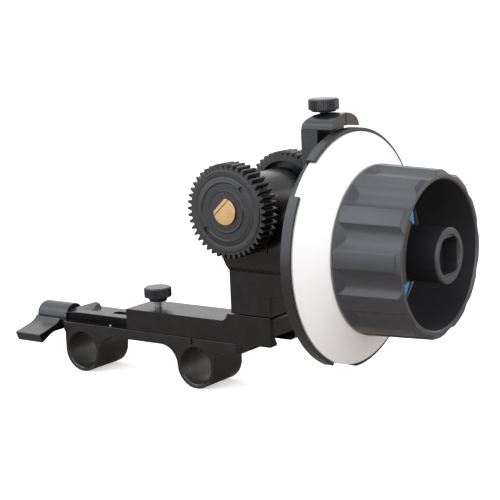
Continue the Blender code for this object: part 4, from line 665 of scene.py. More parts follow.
# Finishes
BLACK_ANODISED = Finish("black_anodised_satin", "black_anodised", (0.005, 0.005, 0.0054), 0.22, ior=1.50)
BLACK_CARRIAGE = Finish("black_anodised_fine", "black_anodised", (0.005, 0.005, 0.0054), 0.22, ior=1.42)
BLACK_KNURLED = Finish("black_anodised_knurled", "black_anodised", (0.022, 0.0225, 0.026), 0.26, ior=1.52)
# Inside the clamp's bores: a rougher copy of the black anodised finish, painted lighter and browner as warm
# light.
BLACK_BORE_PAINTED_LIGHT = Finish("black_bore_rough_painted_warm_light", "black_anodised", (0.014, 0.012, 0.011), 0.46, ior=1.50)
BLACK_GEAR = Finish("black_gear_turned", "black_anodised", (0.014, 0.014, 0.015), 0.34, ior=1.50,
                    grain=Grain.TURNED, grain_size=0.35 * MM, grain_depth=0.012 * MM,
                    centre=(DRIVE_X, 0, DRIVE_Z), across=(1, 0, 1))
# Crank socket: the colour is 2.2 times as light within 0.9 mm of its front face, a painted highlight on the
# rim.
BLACK_SOCKET_PAINTED_RIM = Finish("black_socket_turned_painted_rim_highlight", "black_anodised", (0.017, 0.017, 0.020), 0.42, ior=1.46,
                      grain=Grain.TURNED, grain_size=0.30 * MM, grain_depth=0.008 * MM,
                      centre=(SOCKET_FRONT, 0, 0), across=(1, 0, 0), inside=(0.9 * MM, 2.2))
BLACK_RING = Finish("black_ring_turned", "black_anodised", (0.012, 0.012, 0.013), 0.30, ior=1.50,
                    grain=Grain.TURNED, grain_size=0.45 * MM, grain_depth=0.006 * MM,
                    centre=(0, 0, WHEEL_AXIS), across=(0, 1, 1))
WHEEL_POLYMER = Finish("dark_grey_moulded", "black_polymer", (0.037, 0.038, 0.043), 0.34, ior=1.50,
                       grain=Grain.MOULDED, grain_size=0.35 * MM, grain_depth=0.02 * MM)
DISC_WHITE = Finish("white_satin_disc", "white_polymer", (0.86, 0.865, 0.88), 0.42, grain=Grain.MOULDED,
                    grain_size=0.6 * MM, grain_depth=0.003 * MM, tone_spread=0.015)
BRASS = Finish("turned_brass", "brass", (0.58, 0.395, 0.195), 0.30, metallic=1.0, grain=Grain.TURNED,
               grain_size=0.18 * MM, grain_depth=0.004 * MM, centre=(DRIVE_X, 0, DRIVE_Z),
               across=(1, 0, 1), tone_spread=0.10)
STEEL = Finish("bright_steel_turned", "bright_steel", (0.62, 0.62, 0.63), 0.26, metallic=1.0)
DULL_STEEL = Finish("dull_steel_pin", "bright_steel", (0.30, 0.30, 0.31), 0.42, metallic=1.0)
BLACK_STEEL = Finish("blackened_steel", "black_steel", (0.02, 0.02, 0.022), 0.45)
BRONZE = Finish("oiled_sintered_bronze", "sintered_bronze", (0.42, 0.30, 0.18), 0.45, metallic=1.0,
                grain_size=0.2 * MM, grain_depth=0.02 * MM)
PAD_GREY = Finish("grey_rim_pad", "grey_polymer", (0.012, 0.012, 0.014), 0.5, grain=Grain.MOULDED,
                  grain_size=0.3 * MM, grain_depth=0.01 * MM)
ACCENT_BLUE = Finish("blue_rim_accent", "blue_polymer", (0.014, 0.16, 0.38), 0.35, grain=Grain.SMOOTH)

KEPT_NODES: dict[str, Finish] = {
    "rail_stop_pin": DULL_STEEL, "clamp_nut": BLACK_STEEL, "clamp_stud": STEEL, "neck_screw_left": STEEL,
    "neck_screw_right": STEEL, "wheel_bush_inner": BRONZE, "wheel_bush_outer": BRONZE,
    "drive_bush_front": BRONZE, "drive_bush_rear": BRONZE, "arm_screw_1": STEEL, "arm_screw_2": STEEL,
    "arm_screw_3": STEEL, "wheel_shaft": STEEL, "drive_shaft": STEEL, "socket_screw": STEEL,
}


@dataclass
class RodClamp:
    """The clamp on the two rods, with its dovetail rail."""

    spacing: float = 60.0 * MM
    bore: float = 7.55 * MM
    bore_edge: float = 0.4 * MM
    bore_skin: float = 0.05 * MM
    boss: float = 9.2 * MM
    boss_steps: int = 48
    half: float = 9.55 * MM
    left: float = -41.4 * MM
    right: float = 52.1 * MM
    bottom: float = 7.2 * MM
    top: float = 11.4 * MM
    rail_top: float = 15.3 * MM
    rail_half: float = 6.7 * MM
    rail_foot: float = 4.74 * MM
    rail_draw: float = 0.29 * MM
    rail_sink: float = 0.5 * MM
    rail_inset: float = 0.05 * MM
    rail_edge: float = 0.12 * MM
    rail_sharp: float = 80
    land: float = 0.5 * MM
    inner_fillet: float = 8.2 * MM
    outer_fillet: float = 4.5 * MM
    outer_steps: int = 12
    corner: float = 1.8 * MM
    edge: float = 0.4 * MM
    keyway: Span = (-19.4 * MM, 42.6 * MM)
    keyway_half: float = 2.1 * MM
    keyway_floor: float = 14.4 * MM
    lead_length: float = 8.6 * MM
    lead_drop: float = 1.0 * MM
    lead_share: float = 1.12
    nub_right: float = -30.4 * MM
    nub_top: float = 17.45 * MM
    nub_round: float = 3.0 * MM
    nub_slope: float = math.radians(107)
    nub_left_top: float = 15.15 * MM
    notch: float = 28.7 * MM
    notch_half: float = 0.35 * MM
    notch_floor: float = 9.0 * MM
    notch_back: float = -8.55 * MM
    stud_hole: float = 2.3 * MM
    nut_pocket: float = 4.34 * MM
    nut_depth: float = 3.8 * MM
    pin: Point = (-14.9 * MM, -7.95 * MM)
    pin_hole: float = 0.75 * MM
    pin_depth: float = 2.9 * MM

    def outline(self) -> Section:
        """Draw the bar with a round boss under each end.

        Returns:
            The outline, in X and Z.
        """
        half = self.spacing / 2
        lift = self.bottom - self.inner_fillet
        drop = math.asin(-lift / self.boss)
        inner = half - self.boss * math.cos(drop) - self.inner_fillet
        outer = half + self.boss + self.outer_fillet
        points = [(self.left, self.top), (self.left, self.bottom), (-half - self.boss, self.bottom)]
        points += arc((-half, 0), self.boss, math.pi, FULL - drop, self.boss_steps)
        points += arc((-inner, lift), self.inner_fillet, math.pi, math.pi / 2, ROUND_STEPS)[1:]
        points += arc((inner, lift), self.inner_fillet, math.pi / 2, 0, ROUND_STEPS)
        points += arc((half, 0), self.boss, math.pi + drop, FULL, self.boss_steps)[1:]
        points += arc((outer, self.bottom - self.outer_fillet), self.outer_fillet, math.pi, math.pi / 2,
                      self.outer_steps)
        return points + [(self.right, self.bottom), (self.right, self.top)]

    def rail(self) -> bpy.types.Mesh:
        """Make the dovetail rail.

        Returns:
            The rail, with eased long edges.
        """
        low = self.top - self.rail_sink
        foot = self.rail_foot - self.rail_draw
        shoulder = self.rail_top - self.land
        outline = [(-foot, low), (-self.rail_half, shoulder), (-self.rail_half, self.rail_top),
                   (self.rail_half, self.rail_top), (self.rail_half, shoulder), (foot, low)]
        return Stock.pushed(Plane.YZ, outline, self.left + self.rail_inset, self.right - self.rail_inset,
                            self.rail_edge, self.rail_sharp)

    def at_end(self, a: Vector, b: Vector) -> bool:
        """Say whether an edge is an upright one at the bar's ends."""
        end = min(abs(a.x - self.left), abs(a.x - self.right)) < NEAR
        return end and abs(a.x - b.x) < NEAR and abs(a.y - b.y) < NEAR

    def nub(self) -> Piece:
        """Make the rounded nub on the rail's left end.

        Returns:
            The nub, whose top slopes down to the front.
        """
        low = self.top - self.rail_sink
        start = self.left + self.rail_inset
        centre = (self.nub_right - self.nub_round, self.nub_top - self.nub_round)
        outline = [(start, low), (start, self.nub_left_top)]
        outline += arc(centre, self.nub_round, self.nub_slope, 0, BROAD_STEPS) + [(self.nub_right, low)]
        half = self.rail_foot
        front = self.rail_top - self.lead_drop
        slope = (self.nub_top - front) / (2 * half)
        wedge = [(-half - OVER, front - slope * OVER), (half + OVER, self.nub_top + slope * OVER),
                 (half + OVER, self.nub_top + 2 * OVER), (-half - OVER, self.nub_top + 2 * OVER)]
        cutter = Stock.pushed(Plane.YZ, wedge, self.left - OVER, self.nub_right + OVER)
        return Piece("nub", Stock.pushed(Plane.XZ, outline, -half, half)).cut(cutter)

    def lead_in(self) -> bpy.types.Mesh:
        """Make the cutter that slopes the rail's left end.

        Returns:
            The cutter.
        """
        start = self.left - OVER
        end = self.left + self.lead_length
        outline = [(start, self.rail_top - self.lead_drop * self.lead_share), (end, self.rail_top),
                   (end, self.nub_top), (start, self.nub_top)]
        return Stock.pushed(Plane.XZ, outline, -2 * self.rail_half, 2 * self.rail_half)

    def cutters(self) -> list[bpy.types.Mesh]:
        """Make the cutters of the keyway, the bores, the notch and the screw holes.

        Returns:
            The cutters, in that order.
        """
        reach = self.half + OVER
        flare = self.bore + self.bore_edge + OVER
        start, end = self.keyway
        slot = arc((start + self.keyway_half, 0), self.keyway_half, math.pi * 1.5, math.pi / 2, ROUND_STEPS)
        slot += arc((end - self.keyway_half, 0), self.keyway_half, math.pi / 2, -math.pi / 2, ROUND_STEPS)
        tools = [Stock.pushed(Plane.XY, slot, self.keyway_floor, self.rail_top + OVER)]
        for x in (-self.spacing / 2, self.spacing / 2):
            profile = [(0, reach), (flare, reach), (self.bore, self.half - self.bore_edge),
                       (self.bore, self.bore_edge - self.half), (flare, -reach), (0, -reach)]
            tools.append(Stock.turned(Axis.Y, (x, 0), profile))
        tools.append(Stock.box((self.notch - self.notch_half, -reach, self.notch_floor),
                               (self.notch + self.notch_half, self.notch_back, self.top + OVER)))
        stud = (0, self.top)
        tools.append(Stock.rod(Axis.X, stud, self.stud_hole, self.left - OVER, self.right + OVER,
                               HOLE_FACETS))
        tools.append(Stock.rod(Axis.X, stud, self.nut_pocket, self.right - self.nut_depth, self.right + OVER,
                               HEX_FACETS))
        tools.append(Stock.rod(Axis.Z, self.pin, self.pin_hole, self.top - self.pin_depth, self.top + OVER,
                               SMALL_HOLE_FACETS))
        return tools

    def build(self) -> None:
        """Build the clamp; inside its bores a rougher copy of its finish is painted lighter and browner, as
        warm light.
        """
        bar = Stock.pushed(Plane.XZ, self.outline(), -self.half, self.half, self.edge, corner=self.corner,
                           picked=self.at_end)
        body = Piece("clamp_body", bar).fuse(self.rail()).cut(self.lead_in()).fuse(self.nub().mesh())
        clamp = body.cut(*self.cutters()).dress(BLACK_ANODISED, Body.CLAMP, "rod_clamp")
        # Faces inside the bores take the rougher copy, painted lighter and browner as warm light.
        clamp.data.materials.append(BLACK_BORE_PAINTED_LIGHT.material())
        for face in clamp.data.polygons:
            away = math.hypot(abs(face.center.x) - self.spacing / 2, face.center.z)
            face.material_index = int(away < self.bore + self.bore_skin)


@dataclass
class ClampLever:
    """The knob and wing that tighten the clamp.

    Each share of the wing's outline is a part of its reach and a part of its drop.
    """

    left: float = -59.5 * MM
    right: float = -41.8 * MM
    height: float = 11.4 * MM
    radius: float = 5.65 * MM
    round: float = 2.4 * MM
    knob_edge: float = 0.2 * MM
    reach: float = 18.3 * MM
    drop: float = 4.8 * MM
    width: float = 14.0 * MM
    wing_inset: float = 0.1 * MM
    wing_edge: float = 0.5 * MM
    wing_sharp: float = 50
    top_shares: tuple[Point, ...] = ((0.12, 0.0), (0.29, 0.02), (0.325, 0.16), (0.375, 0.31), (0.45, 0.44),
                                     (0.54, 0.545), (0.65, 0.65), (0.78, 0.76), (0.90, 0.86), (1.00, 0.94),
                                     (1.02, 1.00))
    top_steps: int = 4
    bottom_shares: tuple[Point, ...] = ((0.935, 1.74), (0.825, 1.55), (0.755, 1.40), (0.685, 1.28),
                                        (0.61, 1.16), (0.54, 1.08), (0.47, 1.05), (0.33, 1.05), (0.12, 1.06))
    bottom_steps: int = 3
    stud_hole: float = 2.15 * MM
    stud_end: float = 8.45 * MM

    def build(self) -> None:
        """Build the lever."""
        edge = self.knob_edge
        profile = [(0, self.right), (self.radius - edge, self.right), (self.radius, self.right - edge)]
        profile += [(r, s) for s, r in arc((self.left + self.round, self.radius - self.round), self.round,
                                           math.pi / 2, math.pi, ROUND_STEPS)]
        profile += [(0, self.left)]
        knob = Stock.turned(Axis.X, (0, self.height), profile)
        shares = smooth(self.top_shares, self.top_steps) + smooth(self.bottom_shares, self.bottom_steps)
        outline = [(-self.reach * reach, self.height - self.drop * drop) for reach, drop in shares]
        wing = Stock.pushed(Plane.YZ, outline, self.left + self.wing_inset, self.left + self.width,
                            self.wing_edge, self.wing_sharp)
        hole = Stock.rod(Axis.X, (0, self.height), self.stud_hole, self.left + self.stud_end,
                         self.right + OVER, HOLE_FACETS)
        Piece("lever_knob_and_wing", knob).fuse(wing).cut(hole).dress(
            BLACK_ANODISED, Body.LEVER, "clamp_lever")


@dataclass(frozen=True)
class Thumbscrew:
    """Sizes of a thumbscrew: a knurled head on a short cone and a stem."""

    head: float
    head_height: float
    cone_top: float
    cone_bottom: float
    cone_height: float
    stem: float = 1.5 * MM
    edge: float = 0.5 * MM
    ribs: int = 48
    rib_points: int = 4
    rib_depth: float = 0.28 * MM

    def mesh(self, top: float, bottom: float) -> bpy.types.Mesh:
        """Make the screw about the Z axis.

        Args:
            top: Height of the head's top.
            bottom: Height of the stem's end.

        Returns:
            The closed mesh.
        """
        under = top - self.head_height
        foot = under - self.cone_height
        head = self.head / 2
        soft = self.edge / 2
        levels = [(head - self.edge, top, 0.0), (head, top - self.edge, 1.0), (head, under + soft, 1.0),
                  (head - soft, under, 0.0), (self.cone_top / 2, under, 0.0),
                  (self.cone_bottom / 2, foot, 0.0), (self.stem, foot, 0.0), (self.stem, bottom, 0.0)]
        count = self.ribs * self.rib_points
        rows = []
        for radius, station, ribbed in levels:
            row = []
            for i in range(count):
                dip = self.rib_depth * ribbed * (0.5 - 0.5 * math.cos(FULL * i / self.rib_points))
                angle = FULL * i / count
                row.append(((radius - dip) * math.cos(angle), (radius - dip) * math.sin(angle), station))
            rows.append(row)
        return Stock.skin(rows, 0, looped=False)


@dataclass
class SlidingBridge:
    """The bridge on the rail and its thumbscrew."""

    left: float = -5.1 * MM
    right: float = 67.6 * MM
    half: float = 9.2 * MM
    skirt: float = 11.45 * MM
    deck: float = 20.1 * MM
    pad_left: float = 46.3 * MM
    pad_top: float = 23.1 * MM
    pad_round: float = 3.0 * MM
    edge: float = 0.2 * MM
    ceiling: float = 15.6 * MM
    channel_top: float = 7.0 * MM
    channel_land: float = 0.8 * MM
    dovetail: float = math.radians(60)
    end_corner: float = 1.0 * MM
    screw_x: float = 4.8 * MM
    screw_top: float = 28.4 * MM
    screw_bottom: float = 15.0 * MM
    screw_hole: float = 1.65 * MM
    screw: Thumbscrew = Thumbscrew(11.3 * MM, 4.1 * MM, 8.3 * MM, 7.1 * MM, 1.7 * MM)
    neck_screws: tuple[float, float] = (53.5 * MM, 62.5 * MM)
    neck_hole: float = 1.65 * MM
    neck_head: float = 2.85 * MM
    neck_seat: float = 18.65 * MM
    sleeve_wall: float = 0.06 * MM
    sleeve_start: float = 0.5 * MM
    sleeve_sink: float = 0.1 * MM
    sleeve_facets: int = 48

    def at_right(self, a: Vector, b: Vector) -> bool:
        """Say whether an edge lies round the bridge's right end."""
        return abs(a.x - self.right) < NEAR and abs(b.x - self.right) < NEAR

    def channel(self) -> bpy.types.Mesh:
        """Make the dovetail channel's cutter.

        Returns:
            The cutter.
        """
        low = self.skirt - OVER
        land = self.ceiling - self.channel_land
        foot = self.channel_top - (land - low) / math.tan(self.dovetail)
        outline = [(-foot, low), (-self.channel_top, land), (-self.channel_top, self.ceiling),
                   (self.channel_top, self.ceiling), (self.channel_top, land), (foot, low)]
        return Stock.pushed(Plane.YZ, outline, self.left - OVER, self.right + OVER)

    def body(self) -> None:
        """Build the bridge itself."""
        corner = (self.pad_left - self.pad_round, self.pad_top)
        outline = [(self.left, self.skirt), (self.right, self.skirt), (self.right, self.pad_top),
                   (self.pad_left, self.pad_top)]
        outline += arc(corner, self.pad_round, 0, -math.pi / 2, ROUND_STEPS)[1:] + [(self.left, self.deck)]
        body = Stock.pushed(Plane.XZ, outline, -self.half, self.half, self.edge, corner=self.end_corner,
                            picked=self.at_right)
        low = self.ceiling - OVER
        high = self.pad_top + OVER
        tools = [self.channel(),
                 Stock.rod(Axis.Z, (self.screw_x, 0), self.screw_hole, low, self.deck + OVER, HOLE_FACETS)]
        for x in self.neck_screws:
            profile = [(0, high), (self.neck_hole, high), (self.neck_hole, self.neck_seat),
                       (self.neck_head, self.neck_seat), (self.neck_head, low), (0, low)]
            tools.append(Stock.turned(Axis.Z, (x, 0), profile, HOLE_FACETS))
        Piece("bridge_body", body).cut(*tools).dress(BLACK_CARRIAGE, Body.CARRIAGE, "bridge")

    def thumbscrew(self) -> None:
        """Build the thumbscrew and the bright sleeve on its stem."""
        head = self.screw.mesh(self.screw_top, self.screw_bottom)
        head.transform(Matrix.Translation((self.screw_x, 0, 0)))
        Piece("bridge_thumbscrew_head", head).dress(BLACK_KNURLED, Body.BRIDGE_SCREW, "bridge_screw")
        foot = self.screw_top - self.screw.head_height - self.screw.cone_height + self.sleeve_sink
        sleeve = Stock.rod(Axis.Z, (self.screw_x, 0), self.screw.stem + self.sleeve_wall,
                           self.ceiling + self.sleeve_start, foot, self.sleeve_facets)
        Piece("bridge_thumbscrew_stem", sleeve).dress(DULL_STEEL, Body.BRIDGE_SCREW)

    def build(self) -> None:
        """Build the bridge and its thumbscrew."""
        self.body()
        self.thumbscrew()


@dataclass
class Gearbox:
    """The housing that carries both shafts."""

    left: float = 48.5 * MM
    foot_right: float = 67.5 * MM
    right: float = 76.5 * MM
    bottom: float = 23.4 * MM
    shoulder: float = 31.5 * MM
    half: float = 9.2 * MM
    roof_rise: float = 1.0 * MM
    roof_inset: float = 0.3 * MM
    barrel: float = 14.4 * MM
    barrel_right: float = 83.8 * MM
    barrel_edge: float = 0.5 * MM
    barrel_facets: int = 160
    spigot: float = 8.4 * MM
    spigot_right: float = 92.8 * MM
    head: float = 11.9 * MM
    head_half: float = 14.9 * MM
    head_sink: float = 2.0 * MM
    head_steps: int = 72
    edge: float = 0.35 * MM
    wheel_bore: float = 6.35 * MM
    wheel_bore_wall: float = 3.0 * MM
    drive_bore: float = 5.15 * MM
    screws: tuple[Point, ...] = ARM_SCREWS
    screw_hole: float = 1.4 * MM
    screw_depth: float = 6.3 * MM

    def barrel_stock(self) -> bpy.types.Mesh:
        """Make the turned barrel with the spigot that carries the handwheel.

        Returns:
            The closed mesh.
        """
        return Stock.turned(Axis.X, (0, WHEEL_AXIS), [
            (0, self.spigot_right), (self.spigot - self.edge, self.spigot_right),
            (self.spigot, self.spigot_right - self.edge), (self.spigot, self.barrel_right),
            (self.barrel - self.edge, self.barrel_right), (self.barrel, self.barrel_right - self.edge),
            (self.barrel, self.left + self.barrel_edge), (self.barrel - self.barrel_edge, self.left),
            (0, self.left)], self.barrel_facets)

    def head_stock(self) -> bpy.types.Mesh:
        """Make the arched head round the drive shaft.

        Returns:
            The closed mesh.
        """
        low = WHEEL_AXIS - self.head_sink
        arch = [(DRIVE_X - self.head, low), (DRIVE_X + self.head, low)]
        arch += arc((DRIVE_X, DRIVE_Z), self.head, 0, math.pi, self.head_steps)
        return Stock.pushed(Plane.XZ, arch, -self.head_half, self.head_half, self.edge)

    def build(self) -> None:
        """Build the housing."""
        top = WHEEL_AXIS + self.roof_rise
        outline = [(self.left, self.bottom), (self.foot_right, self.bottom), (self.foot_right, self.shoulder),
                   (self.right, self.shoulder), (self.right, top), (self.left + self.roof_inset, top),
                   (self.left, WHEEL_AXIS)]
        body = Stock.pushed(Plane.XZ, outline, -self.half, self.half, self.edge)
        tools = [Stock.rod(Axis.X, (0, WHEEL_AXIS), self.wheel_bore, self.left + self.wheel_bore_wall,
                           self.spigot_right + OVER),
                 Stock.rod(Axis.Y, (DRIVE_X, DRIVE_Z), self.drive_bore, -self.head_half - OVER,
                           self.head_half + OVER)]
        for place in self.screws:
            tools.append(Stock.rod(Axis.X, place, self.screw_hole, self.barrel_right - self.screw_depth,
                                   self.barrel_right + OVER, SMALL_HOLE_FACETS))
        Piece("gearbox_housing", body).fuse(self.barrel_stock(), self.head_stock()).cut(*tools).dress(
            BLACK_CARRIAGE, Body.CARRIAGE, "gearbox")


@dataclass
class DriveGears:
    """The two toothed gears on the drive shaft and their brass screws.

    A flank's points are modules beyond the pitch circle and shares of half a pitch from the tooth's middle.
    The bead's shares place its foot, its crest and the groove's wall from the groove's rim, as parts of the
    bead's width.
    """

    teeth: int = 43
    module: float = 0.8 * MM
    flank_shares: tuple[Point, ...] = ((-1.25, 0.86), (-1.15, 0.74), (-0.60, 0.62), (0.0, 0.50), (0.55, 0.40),
                                       (0.92, 0.29), (1.0, 0.23))
    tooth_edge: float = 0.12 * MM
    tooth_sharp: float = 70
    inner: float = 15.5 * MM
    outer: float = 23.9 * MM
    cup: float = 14.2 * MM
    cup_depth: float = 4.6 * MM
    hub: float = 6.0 * MM
    groove: Span = (8.2 * MM, 10.8 * MM)
    groove_depth: float = 0.4 * MM
    shallow: Span = (12.7 * MM, 13.7 * MM)
    shallow_depth: float = 0.15 * MM
    shallow_wall: float = 0.3 * MM
    bead: float = 0.45 * MM
    bead_rise: float = 0.12 * MM
    bead_shares: tuple[float, ...] = (2.0, 1.4, 0.6, -0.5)
    face: float = 15.6 * MM
    face_rise: float = 0.3 * MM
    face_sink: float = 1.0 * MM
    pin: float = 1.15 * MM
    pin_depth: float = 0.6 * MM
    pin_circle: float = 11.6 * MM
    pin_angles: tuple[float, float] = (math.radians(48), math.radians(219))
    phase: float = math.radians(3)
    bore: float = 3.15 * MM
    bore_facets: int = 48
    screw_head: float = 5.0 * MM
    screw_height: float = 0.6 * MM
    screw_gap: float = 0.15 * MM
    screw_edge: float = 0.12 * MM
    screw_stem: float = 1.5 * MM
    screw_length: float = 8.0 * MM
    screw_turn: float = math.radians(133)
    screw_facets: int = 96
    flat_share: float = 0.68
    slot_share: float = 0.40
    slot_half: float = 0.27 * MM
    slot_depth: float = 0.5 * MM

    def outline(self) -> Section:
        """Draw the toothed outline about the shaft.

        Returns:
            The outline, with eased tips and roots.
        """
        pitch_radius = self.module * self.teeth / 2
        rising = [(pitch_radius + self.module * rise, -share) for rise, share in self.flank_shares]
        tooth = rising + [(radius, -share) for radius, share in reversed(rising)]
        points = []
        pitch = FULL / self.teeth
        for i in range(self.teeth):
            middle = self.phase + i * pitch
            for radius, share in tooth:
                angle = middle + share * pitch / 2
                points.append((DRIVE_X + radius * math.cos(angle), DRIVE_Z + radius * math.sin(angle)))
        return points

    def span(self, side: int, start: float, end: float) -> list[float]:
        """Return two stations of one side, the lower first."""
        return sorted((side * start, side * end))

    def cup_cutter(self, side: int) -> bpy.types.Mesh:
        """Make the ring cutter that hollows a gear's inner face.

        Args:
            side: -1 for the front and +1 for the rear.

        Returns:
            The closed mesh.
        """
        low, high = self.span(side, self.inner - OVER, self.inner + self.cup_depth)
        section = [(self.cup, high), (self.cup, low), (self.hub, low), (self.hub, high)]
        return Stock.turned(Axis.Y, (DRIVE_X, DRIVE_Z), section)

    def beaded(self) -> Section:
        """Draw the raised face's deep groove between two low beads, and its shallow groove.

        Returns:
            (radius, station) points, outwards.
        """
        start, end = self.groove
        crest = self.outer + self.bead_rise
        levels = (self.outer, crest, crest, self.outer - self.groove_depth)
        bead = [(share * self.bead, level) for share, level in zip(self.bead_shares, levels)]
        points = [(start - off, level) for off, level in bead]
        points += [(end + off, level) for off, level in reversed(bead)]
        first, last = self.shallow
        low = self.outer - self.shallow_depth
        return points + [(first, self.outer), (first + self.shallow_wall, low),
                         (last - self.shallow_wall, low), (last, self.outer)]

    def gear(self, label: str, side: int) -> None:
        """Build one gear.

        Args:
            label: "front" or "rear".
            side: -1 for the front and +1 for the rear.
        """
        low, high = self.span(side, self.inner, self.outer - self.face_rise)
        blank = Stock.pushed(Plane.XZ, self.outline(), low, high, self.tooth_edge, self.tooth_sharp)
        profile = [(0, self.outer)] + self.beaded() + [
            (self.face - self.face_rise, self.outer), (self.face, self.outer - self.face_rise),
            (self.face, self.outer - self.face_sink), (0, self.outer - self.face_sink)]
        raised = Stock.turned(Axis.Y, (DRIVE_X, DRIVE_Z), [(r, side * s) for r, s in profile][::side])
        low, high = self.span(side, self.inner - OVER, self.outer + OVER)
        tools = [self.cup_cutter(side),
                 Stock.rod(Axis.Y, (DRIVE_X, DRIVE_Z), self.bore, low, high, self.bore_facets)]
        low, high = self.span(side, self.outer - self.pin_depth, self.outer + OVER)
        for angle in self.pin_angles:
            place = (DRIVE_X + self.pin_circle * math.cos(angle), DRIVE_Z + self.pin_circle * math.sin(angle))
            tools.append(Stock.rod(Axis.Y, place, self.pin, low, high, HOLE_FACETS))
        Piece("gear_" + label, blank).fuse(raised).cut(*tools).dress(
            BLACK_GEAR, Body.DRIVE, "drive_gear_" + label)

    def screw(self, label: str, side: int) -> None:
        """Build one brass screw, with its flat and its slot.

        Args:
            label: "front" or "rear".
            side: -1 for the front and +1 for the rear.
        """
        inner = self.outer + self.screw_gap
        outer = inner + self.screw_height
        end = inner - self.screw_length
        profile = [(0, outer), (self.screw_head - self.screw_edge, outer),
                   (self.screw_head, outer - self.screw_edge), (self.screw_head, inner),
                   (self.screw_stem, inner), (self.screw_stem, end), (0, end)]
        head = Stock.turned(Axis.Y, (DRIVE_X, DRIVE_Z), [(r, side * s) for r, s in profile][::side],
                            self.screw_facets)
        reach = self.screw_head + OVER
        low, high = self.span(side, inner - OVER, outer + OVER)
        side_cut = Stock.box((self.screw_head * self.flat_share, low, -reach), (reach, high, reach))
        slot = self.screw_head * self.slot_share
        low, high = self.span(side, outer - self.slot_depth, outer + OVER)
        slot_cut = Stock.box((slot - self.slot_half, low, -reach), (slot + self.slot_half, high, reach))
        turn = Matrix.Translation((DRIVE_X, 0, DRIVE_Z)) @ Matrix.Rotation(-self.screw_turn, 4, "Y")
        for tool in (side_cut, slot_cut):
            tool.transform(turn)
        Piece("brass_screw_" + label, head).cut(side_cut, slot_cut).dress(
            BRASS, Body.DRIVE, "gear_screw_" + label)

    def build(self) -> None:
        """Build both gears and both screws."""
        for label, side in (("front", -1), ("rear", 1)):
            self.gear(label, side)
            self.screw(label, side)


@dataclass
class IndexArm:
    """The arm that carries the index line over the disc, and its thumbscrew."""

    back: float = 84.1 * MM
    front: float = 91.5 * MM
    half: float = 9.2 * MM
    base: float = 14.0 * MM
    base_steps: int = 96
    under_radius: float = 45.4 * MM
    under_steps: int = 32
    land: float = 0.3 * MM
    rise: float = 5.4 * MM
    dome_steps: int = 64
    saddle_front: float = 98.1 * MM
    saddle_inset: float = 0.3 * MM
    back_round: float = 6.0 * MM
    back_reach: float = 7.0 * MM
    edge: float = 0.3 * MM
    spigot_hole: float = 8.55 * MM
    line_half: float = 0.25 * MM
    line_depth: float = 0.4 * MM
    screws: tuple[Point, ...] = ARM_SCREWS
    screw_hole: float = 1.4 * MM
    screw_head: float = 2.25 * MM
    screw_seat: float = 89.2 * MM
    stem_x: float = 88.6 * MM
    stem_hole: float = 1.65 * MM
    stem_hole_depth: float = 8.3 * MM
    stem_reach: float = 8.0 * MM
    head_rise: float = 5.1 * MM
    thumbscrew: Thumbscrew = Thumbscrew(11.4 * MM, 4.1 * MM, 9.8 * MM, 9.0 * MM, 0.7 * MM)

    @property
    def spread(self) -> float:
        """Return half of the angle that the saddle covers."""
        return math.asin(self.half / self.under_radius)

    @property
    def underside(self) -> float:
        """Return the height of the saddle's lower corners."""
        return WHEEL_AXIS + self.under_radius * math.cos(self.spread)

    @property
    def top(self) -> float:
        """Return the height of the saddle's top."""
        return self.underside + self.land + self.rise

    def post(self) -> bpy.types.Mesh:
        """Make the post, with its round base.

        Returns:
            The closed mesh.
        """
        side = math.asin(self.half / self.base)
        spring = self.underside + self.land
        outline = arc((0, WHEEL_AXIS), self.base, math.pi / 2 + side, FULL + math.pi / 2 - side,
                      self.base_steps)
        outline += [(self.half, spring), (-self.half, spring)]
        return Stock.pushed(Plane.YZ, outline, self.back, self.front, self.edge)

    def saddle(self) -> bpy.types.Mesh:
        """Make the domed saddle, whose underside follows the disc.

        Returns:
            The closed mesh.
        """
        spring = self.underside + self.land
        angles = [math.pi * i / self.dome_steps for i in range(self.dome_steps + 1)]
        outline = [(self.half * math.cos(a), spring + self.rise * math.sin(a)) for a in angles]
        outline += arc((0, WHEEL_AXIS), self.under_radius, math.pi / 2 + self.spread,
                       math.pi / 2 - self.spread, self.under_steps)
        return Stock.pushed(Plane.YZ, outline, self.back + self.saddle_inset, self.saddle_front, self.edge)

    def cutters(self) -> list[bpy.types.Mesh]:
        """Make the cutters of the rounded back, the spigot's hole, the index line and the screw holes.

        Returns:
            The cutters, in that order.
        """
        corner = (self.back + self.back_round, self.top - self.back_round)
        above = self.top + self.back_reach
        back = [(self.back - self.back_reach, above), (self.back - self.back_reach, corner[1])]
        back += arc(corner, self.back_round, math.pi, math.pi / 2, BROAD_STEPS) + [(corner[0], above)]
        tools = [Stock.pushed(Plane.XZ, back, -2 * self.half, 2 * self.half),
                 Stock.rod(Axis.X, (0, WHEEL_AXIS), self.spigot_hole, self.back - OVER, self.front + OVER),
                 Stock.box((self.saddle_front - self.line_depth, -self.line_half, self.underside - OVER),
                           (self.saddle_front + OVER, self.line_half, self.top + OVER)),
                 Stock.rod(Axis.Z, (self.stem_x, 0), self.stem_hole, self.top - self.stem_hole_depth,
                           self.top + OVER, HOLE_FACETS)]
        low = self.back - OVER
        high = self.front + OVER
        for place in self.screws:
            profile = [(0, high), (self.screw_head, high), (self.screw_head, self.screw_seat),
                       (self.screw_hole, self.screw_seat), (self.screw_hole, low), (0, low)]
            tools.append(Stock.turned(Axis.X, place, profile, HOLE_FACETS))
        return tools

    def build(self) -> None:
        """Build the arm and its thumbscrew."""
        Piece("index_arm_post", self.post()).fuse(self.saddle()).cut(*self.cutters()).dress(
            BLACK_ANODISED, Body.CARRIAGE, "index_arm")
        head = self.thumbscrew.mesh(self.top + self.head_rise, self.top - self.stem_reach)
        head.transform(Matrix.Translation((self.stem_x, 0, 0)))
        Piece("index_thumbscrew_head", head).dress(BLACK_KNURLED, Body.INDEX_SCREW, "index_screw")


